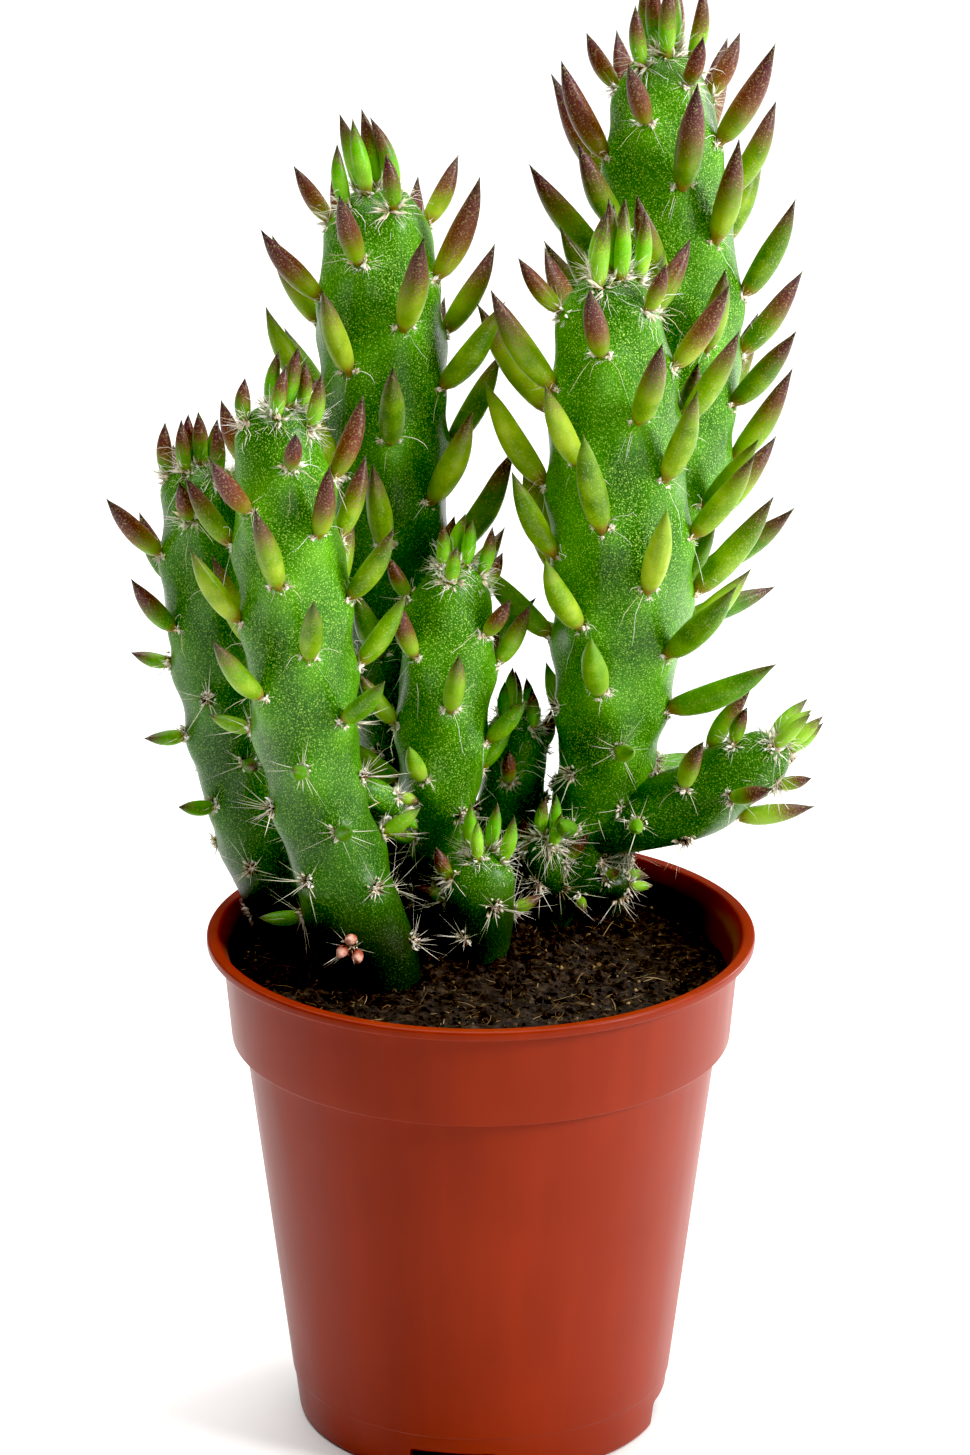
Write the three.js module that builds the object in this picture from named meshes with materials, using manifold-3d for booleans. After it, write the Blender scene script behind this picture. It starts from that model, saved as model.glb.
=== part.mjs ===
// Potted Eve's needle cactus: round leafy stems standing in soil in a plastic nursery pot.
// Millimetres, +Z up. While it is built the pot's axis is X = 0, Y = 0 and its feet stand on Z = 0.
// The finished group is then moved so that its origin is the bottom centre of its bounding box.
import * as THREE from 'three';
import { mergeVertices } from 'three/addons/utils/BufferGeometryUtils.js';
import Module from 'manifold-3d';

const wasm = await Module();
wasm.setup();

const GAP = 0.3;

// Pot
const POT_HEIGHT = 98.9;
const LIP_RADIUS = 52.5;
const LIP_WIDTH = 2.3;
const LIP_THICKNESS = 1.9;
const LIP_ROUND = 0.6;
const COLLAR_TOP_RADIUS = 49.6;
const COLLAR_FOOT_RADIUS = 47.9;
const COLLAR_FOOT_Z = 78.2;
const STEP_ROUND = 0.5;
const INNER_STEP_DROP = 1.2;
const LIP_SLOPE = 1.5;
const BODY_TOP_RADIUS = 45.5;
const BASE_RADIUS = 35.8;
const BASE_ROUND = 1.2;
const WALL = 1.3;
const FLOOR_UNDERSIDE = 3.0;
const FLOOR_THICKNESS = 1.6;
const FOOT_WIDTH = 2.4;
const POT_SIDES = 40;
const NOTCH_COUNT = 4;
const NOTCH_TURN = -8.5;
const NOTCH_WIDTH = 16.8;
const NOTCH_HEIGHT = 5.6;
const NOTCH_DEPTH = 7.4;
const NOTCH_START = 2.7;
const DRAIN_RADIUS = 3.5;
const DRAIN_CIRCLE = 21;
const DRAIN_SIDES = 12;

// Soil
const SOIL_Z = 91;
const SOIL_SIDES = 30;
const SOIL_RINGS = [0.86, 0.7, 0.54, 0.38, 0.22];
const HEAP_HEIGHT = 3;
const HEAP_WIDTH = 24;
const HEAP_CENTRE = [-4, 14];
const LUMP_HEIGHT = 0.5;
const HOLE_SIDES = 12;
const HOLE_MARGIN = 1.5;

// Stems: drops are measured down from the crown
const STEM_SIDES = 10;
const RING_STEP = 7;
const CROWN_ROUND = 3;
const CROWN_RINGS = [0, 0.4, 1.5, 3.4];
const CROWN_CENTRE = 0.1;
const CROWN_CROWDING = 1.5;
const FOOT_ROUND = 1;
const DROP_SPREAD = 0.8;
const TURN_SPREAD = 10;
const LOWEST_GROWTH = 96.5;
const BARE_FOOT = 4;
const BUMP_HEIGHT = 1.5;
const BUMP_MOST = 1.6;
const BUMP_LENGTH = 4.8;
const BUMP_REACH = 2.5;
const BUMP_WIDTH = 4.2;
const BUMP_DROP = 2.2;
const HOLLOW = 0.4;
const BUMPS_FROM_CROWN = [0, 5];
const BUMPS_FROM_FOOT = [8, 40];

// Leaves: shares of a full leaf's length, and openings from the stem in degrees
const LEAF_SIDES = 4;
const LEAF_ROWS = [0.08, 0.55, 1];
const LEAF_SWELLING = 1.06;
const LEAF_CURVE = 0.14;
const LEAF_DEPTH = 1.1;
const LEAF_SINK = 1.6;
const LEAF_WIDTH = 1.9;
const LEAF_WIDENING = 0.145;
const LENGTH_SPREAD = 0.28;
const CROWN_LEAF = 0.64;
const CROWN_DROPS = [2, 5];
const YOUNG_LEAF = 0.52;
const YOUNG_DROPS = [4, 20];
const SHORT_LEAF = 0.5;
const SHORT_LEAF_SHARE = 0.3;
const CROWN_OPENING = 3;
const FULL_OPENING = 40;
const OPENING_DROPS = [0, 7];
const LOW_OPENING = 84;
const LOW_SHARES = [0.7, 1.2];
const LEAN_SPREAD = 16;

// Spines
const SPINE_RADIUS = 0.3;
const SPINE_LENGTH = 5.5;
const SHORTEST_SPINE = 0.7;
const SPINE_SPREAD = 0.8;
const SPINE_SINK = 0.8;
const SPINE_OPENING = 42;
const SPINE_OPENING_SPREAD = 24;
const SPINES_PER_CLUSTER = 2;

// Clearance between what grows on different stems, and over the soil and the pot's rim
const CLEARANCE = 0.7;
const LEAN_TRIES = [0, -12, -22, 14, -32];
const BALL_STEP = 2;
const BURIED_LENGTH = 10;
const RIM_INSIDE = 6;
const RIM_OUTSIDE = 3;

// What every kind of draw adds to a shoot's seed.
const ROLL = { turn: 0, length: 20, spine: 30, drop: 40, short: 60, lean: 80, fan: 90 };

// Every shoot is a centre line from its foot to its crown, as rows of [x, y, z, radius].
// turn is where its first full leaf stands, in degrees from the front towards +X, and step is the turn
// from one leaf to the next one down. rise is the height between them, and first the drop from the crown
// to the first. leaf is the length of a full leaf and leafy the length of stem below the crown that
// carries full leaves: below it the spine clusters stand bare, apart from a short leaf here and there.
// crown is how many young leaves crowd at the top, and splay opens them by so many degrees more.
const PLANT = [
  {
    name: 'stem_tall_left',
    rows: [
      [-15.6, 32, 80, 6.6], [-15.6, 32, 96, 7.4], [-15.5, 33, 113, 8.6], [-15.8, 34, 134, 9.8],
      [-16.7, 35, 154, 10.9], [-18, 36, 174, 11.6], [-18.6, 36, 194, 12.1], [-19.5, 36, 214, 11.8],
      [-19.7, 36, 227.5, 9.6], [-21.2, 36, 235.5, 5.4],
    ],
    turn: 29, step: -136.25, rise: 2.68, first: 3, leaf: 21, leafy: 100, seed: 1,
  },
  {
    name: 'stem_tallest',
    rows: [
      [23, 31.5, 80, 4.8], [23, 31.5, 95, 5.2], [24.2, 37.5, 110, 6.6], [26.4, 44, 130, 8.6],
      [31, 49, 149.5, 10.2], [36, 51, 169, 10.8], [38.6, 53, 189, 11.2], [38.3, 54, 209, 12],
      [35.6, 55, 228.5, 12.4], [35.2, 56, 248, 9.2], [35.3, 56, 258, 5],
    ],
    turn: 169, step: -137.5, rise: 2.4, first: 2.9, leaf: 22, leafy: 112, seed: 2,
  },
  {
    name: 'stem_thick_right',
    rows: [
      [13, 22.5, 80, 5], [13, 22.5, 95, 5.4], [17, 23.6, 105.5, 6], [19.9, 24, 112, 6],
      [23.1, 24, 121, 8.4], [25.3, 23, 137.5, 10.8], [26.9, 22, 158, 13.2], [26.3, 22, 178, 13.3],
      [25, 22, 198, 12.2], [24.7, 22, 215, 9], [25.2, 22, 222.7, 4.6],
    ],
    turn: 188, step: -138.75, rise: 2.54, first: 2.4, leaf: 22, leafy: 86, seed: 3,
    branches: [
      {
        rows: [
          [21, 24, 110.5, 5], [29, 22, 113.6, 6.8], [40.5, 20, 117.6, 7.2], [46.2, 19, 121.4, 6.8],
          [55.3, 17, 128.3, 4.8], [58.5, 17, 130.9, 2.8],
        ],
        turn: 200, step: -137.5, rise: 2.5, first: 2.2, leaf: 14.5, leafy: 22, crown: 4, splay: 12, seed: 4,
      },
      {
        rows: [[13.5, 21, 98, 3.9], [12.4, 16.5, 107, 3.6], [13, 16, 112.9, 2.8]],
        turn: 20, step: -137.5, rise: 2.4, first: 2, leaf: 12, leafy: 8, crown: 3, splay: 8, seed: 5,
      },
      {
        rows: [[15, 23, 101, 3.6], [22, 22.5, 99.8, 3.8], [29, 23, 99.4, 2.8]],
        turn: 90, step: -137.5, rise: 2.4, first: 1.8, leaf: 7, leafy: 2, crown: 2, seed: 6,
      },
    ],
  },
  {
    name: 'stem_front_left',
    rows: [
      [-19.6, -7, 80, 7.4], [-19.6, -7, 94, 8], [-24.8, -7, 107.5, 9], [-30.4, -6, 127.3, 8.8],
      [-33.4, -6, 147.3, 9.9], [-34.5, -6, 167, 10.4], [-36.6, -6, 186.4, 9.2], [-36.9, -6, 198, 7.6],
      [-36.1, -6, 204.7, 4.8],
    ],
    turn: 288, step: -138.25, rise: 2.8, first: 3.4, leaf: 16.5, leafy: 62, seed: 7,
    branches: [
      {
        rows: [[-25, -4, 129, 2.4], [-19.5, -2, 127, 2.7], [-15, 0, 122, 2]],
        turn: 60, step: -137.5, rise: 2, first: 1.4, leaf: 8, leafy: 4, crown: 2, seed: 8,
      },
    ],
  },
  {
    name: 'stem_far_left',
    rows: [
      [-36, 12, 80, 6], [-36.2, 12, 94, 6.4], [-40.8, 15, 106, 7.6], [-44.7, 17, 118.3, 8.1],
      [-49, 17.5, 139, 8.3], [-52.1, 17, 159.6, 8.2], [-52.8, 16, 179.8, 7.2], [-53.1, 16, 187.3, 4.6],
    ],
    turn: 262, step: -138.5, rise: 2.8, first: 2.5, leaf: 15.5, leafy: 36, seed: 9,
  },
  {
    name: 'stem_middle',
    rows: [
      [-7.6, 16, 80, 4.6], [-7.6, 16, 95, 4.9], [-7.9, 16, 113, 5.6], [-7.9, 15, 124, 7.7],
      [-7.1, 14, 140.5, 8.8], [-5.9, 14, 156.6, 8.2], [-4, 14, 168.6, 4.4],
    ],
    turn: 352, step: 137.5, rise: 2.9, first: 3, leaf: 13.5, leafy: 48, seed: 10,
  },
  {
    name: 'shoot_shaded',
    rows: [
      [4, 32, 80, 4.8], [4, 32, 96, 5.2], [5.5, 31, 112, 5.9], [6.7, 30, 126, 5.8], [6.9, 30, 133, 4.4],
    ],
    turn: 40, step: -137.5, rise: 3, first: 2.4, leaf: 12, leafy: 16, crown: 4, seed: 11,
  },
  {
    name: 'shoot_front',
    rows: [
      [0.2, 3, 80, 4.8], [0.2, 3, 94, 5.4], [0, 2.6, 100, 6.1], [-0.2, 2, 108.2, 6.2],
      [-0.2, 2, 114.4, 4],
    ],
    turn: 75, step: -137.5, rise: 2.3, first: 2, leaf: 14, leafy: 9, crown: 4, splay: 14, seed: 12,
  },
];

const radians = THREE.MathUtils.degToRad;
const smooth = THREE.MathUtils.smoothstep;

// A repeatable draw between 0 and 1 for two whole numbers.
function draw(first, second) {
  const wave = Math.sin(first * 127.1 + second * 311.7) * 43758.5453;
  return wave - Math.floor(wave);
}

// Booleans

function toSolid(geometry) {
  geometry.deleteAttribute('normal');
  geometry.deleteAttribute('uv');
  const merged = mergeVertices(geometry, 1e-4);
  const corners = [];
  for (let i = 0; i < merged.index.count; i += 3) {
    const [a, b, c] = [merged.index.getX(i), merged.index.getX(i + 1), merged.index.getX(i + 2)];
    if (a !== b && b !== c && c !== a) corners.push(a, b, c);
  }
  const vertProperties = new Float32Array(merged.attributes.position.array);
  const mesh = new wasm.Mesh({ numProp: 3, vertProperties, triVerts: new Uint32Array(corners) });
  return new wasm.Manifold(mesh);
}

// The largest piece of a solid, without loose scraps or sealed hollows.
function mainPiece(solid) {
  const pieces = solid.decompose();
  return pieces.reduce((best, piece) => (piece.volume() > best.volume() ? piece : best));
}

function toMesh(name, solid, material) {
  const { vertProperties, triVerts } = solid.getMesh();
  const geometry = new THREE.BufferGeometry();
  geometry.setAttribute('position', new THREE.BufferAttribute(vertProperties, 3));
  geometry.setIndex(new THREE.BufferAttribute(triVerts, 1));
  geometry.computeVertexNormals();
  const mesh = new THREE.Mesh(geometry, material);
  mesh.name = name;
  return mesh;
}

function turned(profile, sides) {
  const points = profile.map(([radius, z]) => new THREE.Vector2(radius, z));
  return new THREE.LatheGeometry(points, sides).rotateX(Math.PI / 2);
}

// Pot

function bodyRadius(z) {
  return THREE.MathUtils.mapLinear(z, 0, COLLAR_FOOT_Z, BASE_RADIUS, BODY_TOP_RADIUS);
}

function collarRadius(z) {
  const top = POT_HEIGHT - LIP_THICKNESS;
  return THREE.MathUtils.mapLinear(z, COLLAR_FOOT_Z, top, COLLAR_FOOT_RADIUS, COLLAR_TOP_RADIUS);
}

const FLOOR_TOP = FLOOR_UNDERSIDE + FLOOR_THICKNESS;
const STEP_UNDER = COLLAR_FOOT_Z - INNER_STEP_DROP;
const STEP_OVER = COLLAR_FOOT_Z + WALL;

function potProfile() {
  const lipUnder = POT_HEIGHT - LIP_THICKNESS;
  const lipInner = LIP_RADIUS - LIP_WIDTH;
  return [
    [0, FLOOR_UNDERSIDE],
    [BASE_RADIUS - FOOT_WIDTH, FLOOR_UNDERSIDE],
    [BASE_RADIUS - FOOT_WIDTH, 0],
    [BASE_RADIUS - BASE_ROUND, 0],
    [bodyRadius(BASE_ROUND), BASE_ROUND],
    [BODY_TOP_RADIUS, COLLAR_FOOT_Z],
    [COLLAR_FOOT_RADIUS - STEP_ROUND, COLLAR_FOOT_Z],
    [collarRadius(COLLAR_FOOT_Z + STEP_ROUND), COLLAR_FOOT_Z + STEP_ROUND],
    [COLLAR_TOP_RADIUS, lipUnder],
    [LIP_RADIUS - LIP_ROUND, lipUnder],
    [LIP_RADIUS, lipUnder + LIP_ROUND],
    [LIP_RADIUS, POT_HEIGHT - LIP_ROUND],
    [LIP_RADIUS - LIP_ROUND, POT_HEIGHT],
    [lipInner + LIP_ROUND, POT_HEIGHT],
    [lipInner, POT_HEIGHT - LIP_ROUND],
    [COLLAR_TOP_RADIUS - WALL, lipUnder - LIP_SLOPE],
    [collarRadius(STEP_OVER) - WALL, STEP_OVER],
    [bodyRadius(STEP_UNDER) - WALL, STEP_UNDER],
    [bodyRadius(FLOOR_TOP) - WALL, FLOOR_TOP],
    [0, FLOOR_TOP],
  ];
}

function potSolid() {
  let pot = toSolid(turned(potProfile(), POT_SIDES));
  const quarter = (2 * Math.PI) / NOTCH_COUNT;
  for (let i = 0; i < NOTCH_COUNT; i += 1) {
    const notch = new THREE.BoxGeometry(NOTCH_WIDTH, NOTCH_DEPTH, 2 * NOTCH_HEIGHT);
    notch.translate(0, NOTCH_DEPTH / 2 - NOTCH_START - BASE_RADIUS, 0);
    notch.rotateZ(radians(NOTCH_TURN) + i * quarter);
    pot = pot.subtract(toSolid(notch));
  }
  const middle = FLOOR_UNDERSIDE + FLOOR_THICKNESS / 2;
  for (let i = 0; i <= NOTCH_COUNT; i += 1) {
    const drain = new THREE.CylinderGeometry(DRAIN_RADIUS, DRAIN_RADIUS, 3 * FLOOR_THICKNESS, DRAIN_SIDES);
    drain.rotateX(Math.PI / 2);
    const circle = i === NOTCH_COUNT ? 0 : DRAIN_CIRCLE;
    const turn = radians(NOTCH_TURN) + i * quarter;
    drain.translate(circle * Math.cos(turn), circle * Math.sin(turn), middle);
    pot = pot.subtract(toSolid(drain));
  }
  return pot;
}

// Soil

function soilHeight(x, y) {
  const away = Math.hypot(x - HEAP_CENTRE[0], y - HEAP_CENTRE[1]) / HEAP_WIDTH;
  const heap = HEAP_HEIGHT * Math.exp(-away * away);
  const lumps = Math.sin(x * 0.55 + 2 * Math.sin(y * 0.31)) * Math.cos(y * 0.47 + Math.sin(x * 0.4));
  return SOIL_Z + heap + LUMP_HEIGHT * lumps;
}

function soilSolid(feet) {
  const inner = (radius) => radius - WALL - GAP;
  const rim = inner(collarRadius(SOIL_Z));
  const profile = [
    [0, FLOOR_TOP + GAP],
    [inner(bodyRadius(FLOOR_TOP)), FLOOR_TOP + GAP],
    [inner(bodyRadius(STEP_UNDER)), STEP_UNDER],
    [inner(collarRadius(STEP_OVER)) - GAP, STEP_OVER + GAP],
    [rim, SOIL_Z],
    ...SOIL_RINGS.map((share) => [rim * share, SOIL_Z]),
    [0, SOIL_Z],
  ];
  const geometry = turned(profile, SOIL_SIDES);
  const position = geometry.attributes.position;
  for (let i = 0; i < position.count; i += 1) {
    const [x, y, z] = [position.getX(i), position.getY(i), position.getZ(i)];
    const isTop = z > SOIL_Z - GAP && Math.hypot(x, y) < rim - GAP;
    if (isTop) position.setZ(i, soilHeight(x, y));
  }
  let soil = toSolid(geometry);
  for (const { x, y, z, radius } of feet) {
    const depth = POT_HEIGHT - z + GAP;
    const hole = new THREE.CylinderGeometry(radius + GAP, radius + GAP, depth, HOLE_SIDES);
    hole.rotateX(Math.PI / 2).translate(x, y, z - GAP + depth / 2);
    soil = soil.subtract(toSolid(hole));
  }
  return soil;
}

// Shoots

// Measures a shoot's centre line, and answers for any drop below its crown.
class Shoot {
  constructor(spec) {
    Object.assign(this, { crown: 6, splay: 0 }, spec);
    const centres = this.rows.map(([x, y, z]) => new THREE.Vector3(x, y, z));
    const girths = this.rows.map(([, , , radius]) => new THREE.Vector3(radius, 0, 0));
    this.line = new THREE.CatmullRomCurve3(centres, false, 'catmullrom');
    this.girth = new THREE.CatmullRomCurve3(girths, false, 'catmullrom');
    this.line.arcLengthDivisions = 200;
    this.length = this.line.getLength();
    this.areoles = this.placeAreoles();
  }

  // The point, the frame and the radius at a drop below the crown.
  at(drop) {
    const along = THREE.MathUtils.clamp(1 - drop / this.length, 0, 1);
    const t = this.line.getUtoTmapping(along);
    const axis = this.line.getTangent(t);
    const front = new THREE.Vector3(0, -1, 0);
    front.addScaledVector(axis, -front.dot(axis)).normalize();
    const side = new THREE.Vector3().crossVectors(axis, front);
    const top = Math.min(drop / CROWN_ROUND, 1);
    const bottom = Math.min((this.length - drop) / FOOT_ROUND, 1);
    const round = Math.sqrt(Math.max(0, 1 - (1 - top) ** 2)) * Math.sqrt(Math.max(0, 1 - (1 - bottom) ** 2));
    return { point: this.line.getPoint(t), axis, front, side, radius: this.girth.getPoint(t).x * round };
  }

  // Turn and drop of every cushion that a leaf or spines grow from, from the crown down.
  placeAreoles() {
    const list = [];
    for (let n = -this.crown; ; n += 1) {
      const crowded = CROWN_CENTRE + this.first * ((n + this.crown) / this.crown) ** CROWN_CROWDING;
      const strewn = this.first + n * this.rise + DROP_SPREAD * (draw(n, this.seed + ROLL.drop) - 0.5);
      const drop = n < 0 ? crowded : strewn;
      if (drop > this.length - BARE_FOOT || this.at(drop).point.z < LOWEST_GROWTH) return list;
      const swing = TURN_SPREAD * (draw(n, this.seed + ROLL.turn) - 0.5);
      const turn = radians(this.turn + n * this.step + swing);
      list.push({ n, drop, turn });
    }
  }

  // Height of the bumps below the areoles over the hollows between them, at a drop and a turn.
  bump(drop, turn, radius) {
    let height = 0;
    for (const areole of this.areoles) {
      const down = (drop - areole.drop - BUMP_DROP) / BUMP_LENGTH;
      if (Math.abs(down) > BUMP_REACH || areole.n < 0) continue;
      const angle = Math.atan2(Math.sin(turn - areole.turn), Math.cos(turn - areole.turn));
      const across = (angle * radius) / BUMP_WIDTH;
      height += BUMP_HEIGHT * Math.exp(-down * down - across * across);
    }
    return Math.min(height, BUMP_MOST);
  }

  surface(drop, turn) {
    const { point, axis, front, side, radius } = this.at(drop);
    const out = front.clone().multiplyScalar(Math.cos(turn)).addScaledVector(side, Math.sin(turn));
    const fade = smooth(drop, ...BUMPS_FROM_CROWN) * smooth(this.length - drop, ...BUMPS_FROM_FOOT);
    const reach = radius + fade * (this.bump(drop, turn, radius) - HOLLOW);
    return { point: point.addScaledVector(out, reach), axis, out };
  }
}

function bodySolid(shoot) {
  const drops = [...CROWN_RINGS];
  const start = drops.at(-1);
  const run = shoot.length - FOOT_ROUND - start;
  const count = Math.round(run / RING_STEP);
  for (let i = 1; i < count; i += 1) drops.push(start + (i * run) / count);
  drops.push(shoot.length - FOOT_ROUND, shoot.length);
  const rings = drops.length - 1;
  const grid = new THREE.SphereGeometry(1, STEM_SIDES, rings);
  const { position, uv } = grid.attributes;
  for (let i = 0; i < position.count; i += 1) {
    const drop = drops[Math.round((1 - uv.getY(i)) * rings)];
    const { point } = shoot.surface(drop, uv.getX(i) * 2 * Math.PI);
    position.setXYZ(i, point.x, point.y, point.z);
  }
  return toSolid(grid);
}

// Where a leaf stands and how it lies, for one of its possible leans.
function leafAt(shoot, areole, extraLean) {
  const { n, drop, turn } = areole;
  const isShort = drop > shoot.leafy;
  if (isShort && draw(n, shoot.seed + ROLL.short) > SHORT_LEAF_SHARE) return null;
  const vary = 1 + LENGTH_SPREAD * (draw(n, shoot.seed + ROLL.length) - 0.5);
  const crown = (CROWN_LEAF - YOUNG_LEAF) * (1 - smooth(drop, ...CROWN_DROPS));
  const young = YOUNG_LEAF + crown + (1 - YOUNG_LEAF) * smooth(drop, ...YOUNG_DROPS);
  const length = shoot.leaf * (isShort ? SHORT_LEAF : young) * vary;
  const [low, lowest] = LOW_SHARES.map((share) => share * shoot.leafy);
  const least = CROWN_OPENING + shoot.splay;
  const full = least + (FULL_OPENING - least) * smooth(drop, ...OPENING_DROPS);
  const opening = full + (LOW_OPENING - FULL_OPENING) * smooth(drop, low, lowest);
  const lean = radians(opening + LEAN_SPREAD * (draw(n, shoot.seed + ROLL.lean) - 0.5) + extraLean);
  const { point, axis, out } = shoot.surface(drop, turn);
  const along = axis.clone().multiplyScalar(Math.cos(lean)).addScaledVector(out, Math.sin(lean));
  const lift = axis.clone().addScaledVector(along, -axis.dot(along)).normalize();
  return { root: point, along, lift, length, width: LEAF_WIDTH + LEAF_WIDENING * length };
}

// Middle and half width of a leaf at a share of its length, from 0 at the root to 1 at the tip.
const LEAF_SHAPE = [[0, 0.5], [0.12, 0.82], [0.45, 1], [0.75, 0.66], [1, 0]];

function leafMiddle({ root, along, lift, length }, share) {
  const rise = LEAF_CURVE * length * share * share;
  return root.clone().addScaledVector(along, length * share).addScaledVector(lift, rise);
}

function leafHalfWidth({ width }, share) {
  const next = LEAF_SHAPE.findIndex(([end]) => end >= share);
  if (next <= 0) return (width / 2) * LEAF_SHAPE[0][1];
  const [[from, before], [to, after]] = [LEAF_SHAPE[next - 1], LEAF_SHAPE[next]];
  return (width / 2) * THREE.MathUtils.mapLinear(share, from, to, before, after);
}

function leafSolid(leaf) {
  const shares = [-LEAF_SINK / leaf.length, ...LEAF_ROWS];
  const grid = new THREE.SphereGeometry(1, LEAF_SIDES, shares.length - 1);
  const { position, uv } = grid.attributes;
  const across = new THREE.Vector3().crossVectors(leaf.along, leaf.lift);
  for (let i = 0; i < position.count; i += 1) {
    const row = Math.round(uv.getY(i) * (shares.length - 1));
    const point = leafMiddle(leaf, shares[row]);
    const isPole = row === 0 || row === shares.length - 1;
    const reach = isPole ? 0 : leafHalfWidth(leaf, shares[row]) * LEAF_SWELLING;
    const turn = uv.getX(i) * 2 * Math.PI;
    point.addScaledVector(leaf.lift, reach * LEAF_DEPTH * Math.cos(turn));
    point.addScaledVector(across, reach * Math.sin(turn));
    position.setXYZ(i, point.x, point.y, point.z);
  }
  return toSolid(grid);
}

// Spines of one bare cluster: they fan out round the way out of the stem.
function spinesAt(shoot, areole) {
  const { n, drop, turn } = areole;
  if (drop < shoot.leafy) return [];
  const { point, axis, out } = shoot.surface(drop, turn);
  const side = new THREE.Vector3().crossVectors(axis, out);
  const spines = [];
  for (let k = 0; k < SPINES_PER_CLUSTER; k += 1) {
    const swing = radians((k + draw(n, shoot.seed + k)) * (360 / SPINES_PER_CLUSTER));
    const open = radians(SPINE_OPENING + SPINE_OPENING_SPREAD * draw(n + k, shoot.seed + ROLL.fan));
    const along = out.clone().multiplyScalar(Math.cos(open));
    along.addScaledVector(axis, Math.sin(open) * Math.cos(swing));
    along.addScaledVector(side, Math.sin(open) * Math.sin(swing));
    const share = SHORTEST_SPINE + SPINE_SPREAD * draw(n + k, shoot.seed + ROLL.spine);
    spines.push({ root: point, along, length: SPINE_LENGTH * share });
  }
  return spines;
}

function spineSolid({ root, along, length }) {
  const cone = new THREE.ConeGeometry(SPINE_RADIUS, length + SPINE_SINK, 3);
  cone.translate(0, (length - SPINE_SINK) / 2, 0);
  const swing = new THREE.Quaternion().setFromUnitVectors(new THREE.Vector3(0, 1, 0), along);
  cone.applyQuaternion(swing).translate(root.x, root.y, root.z);
  return toSolid(cone);
}

// Clearance between what grows on different stems, tested on rows of balls.

function bodyBalls(shoot) {
  const balls = [];
  for (let drop = BALL_STEP / 2; drop < shoot.length - BURIED_LENGTH; drop += BALL_STEP) {
    const { point, radius } = shoot.at(drop);
    balls.push({ point, radius: radius + BUMP_HEIGHT });
  }
  return balls;
}

function leafBalls(leaf) {
  const shares = [0.15, 0.3, 0.45, 0.6, 0.75, 0.88, 1];
  return shares.map((share) => ({ point: leafMiddle(leaf, share), radius: leafHalfWidth(leaf, share) }));
}

function spineBalls({ root, along, length }) {
  const shares = [0.25, 0.5, 0.75, 1];
  return shares.map((share) => ({
    point: root.clone().addScaledVector(along, length * share),
    radius: SPINE_RADIUS,
  }));
}

function isClear(balls, others) {
  for (const { point, radius } of balls) {
    const out = Math.hypot(point.x, point.y);
    const floor = out > LIP_RADIUS - RIM_INSIDE ? POT_HEIGHT : SOIL_Z + HEAP_HEIGHT + LUMP_HEIGHT;
    if (out < LIP_RADIUS + RIM_OUTSIDE && point.z - radius < floor + CLEARANCE) return false;
    for (const other of others) {
      if (point.distanceTo(other.point) < radius + other.radius + CLEARANCE) return false;
    }
  }
  return true;
}

// What grows on every stem, in the order of PLANT: a leaf that would touch another stem, or what grows
// on it, is bent up or down until it is clear, or else left out.
function growAll(plant) {
  const stems = plant.map((spec) => [spec, ...(spec.branches ?? [])].map((part) => new Shoot(part)));
  const bodies = stems.map((shoots) => shoots.flatMap(bodyBalls));
  const grown = plant.map(() => []);
  return stems.map((shoots, index) => {
    const others = bodies.concat(grown).filter((_, i) => i % plant.length !== index).flat();
    const leaves = [];
    const spines = [];
    for (const shoot of shoots) {
      for (const areole of shoot.areoles) {
        for (const extraLean of LEAN_TRIES) {
          const leaf = leafAt(shoot, areole, extraLean);
          if (!leaf) break;
          if (!isClear(leafBalls(leaf), others)) continue;
          leaves.push(leaf);
          grown[index].push(...leafBalls(leaf));
          break;
        }
        const fan = spinesAt(shoot, areole).filter((spine) => isClear(spineBalls(spine), others));
        spines.push(...fan);
        grown[index].push(...fan.flatMap(spineBalls));
      }
    }
    return { shoots, leaves, spines };
  });
}

function stemSolid({ shoots, leaves, spines }) {
  const parts = [...shoots.slice(1).map(bodySolid), ...leaves.map(leafSolid), ...spines.map(spineSolid)];
  return mainPiece(parts.reduce((whole, part) => whole.add(part), bodySolid(shoots[0])));
}

// The whole part

function material(color, roughness) {
  return new THREE.MeshStandardMaterial({ color, roughness, metalness: 0 });
}

const stems = growAll(PLANT);
const feet = PLANT.map(({ rows: [[x, y, z, radius]] }) => ({ x, y, z, radius: radius + HOLE_MARGIN }));

const model = new THREE.Group();
model.add(toMesh('pot', potSolid(), material(0xa03a28, 0.35)));
model.add(toMesh('soil', soilSolid(feet), material(0x2c1e16, 1)));
stems.forEach((stem, i) => {
  model.add(toMesh(PLANT[i].name, stemSolid(stem), material(0x3f8a2e, 0.45)));
});

const box = new THREE.Box3().setFromObject(model);
const centre = box.getCenter(new THREE.Vector3());
model.position.set(-centre.x, -centre.y, -box.min.z);

export default model;
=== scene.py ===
# Potted Eve's needle cactus: the finer skin, leaves, spines, wool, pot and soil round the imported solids.
import math
from functools import partial

import bmesh
import bpy
import numpy as np
from mathutils import Matrix, Vector, noise


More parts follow.
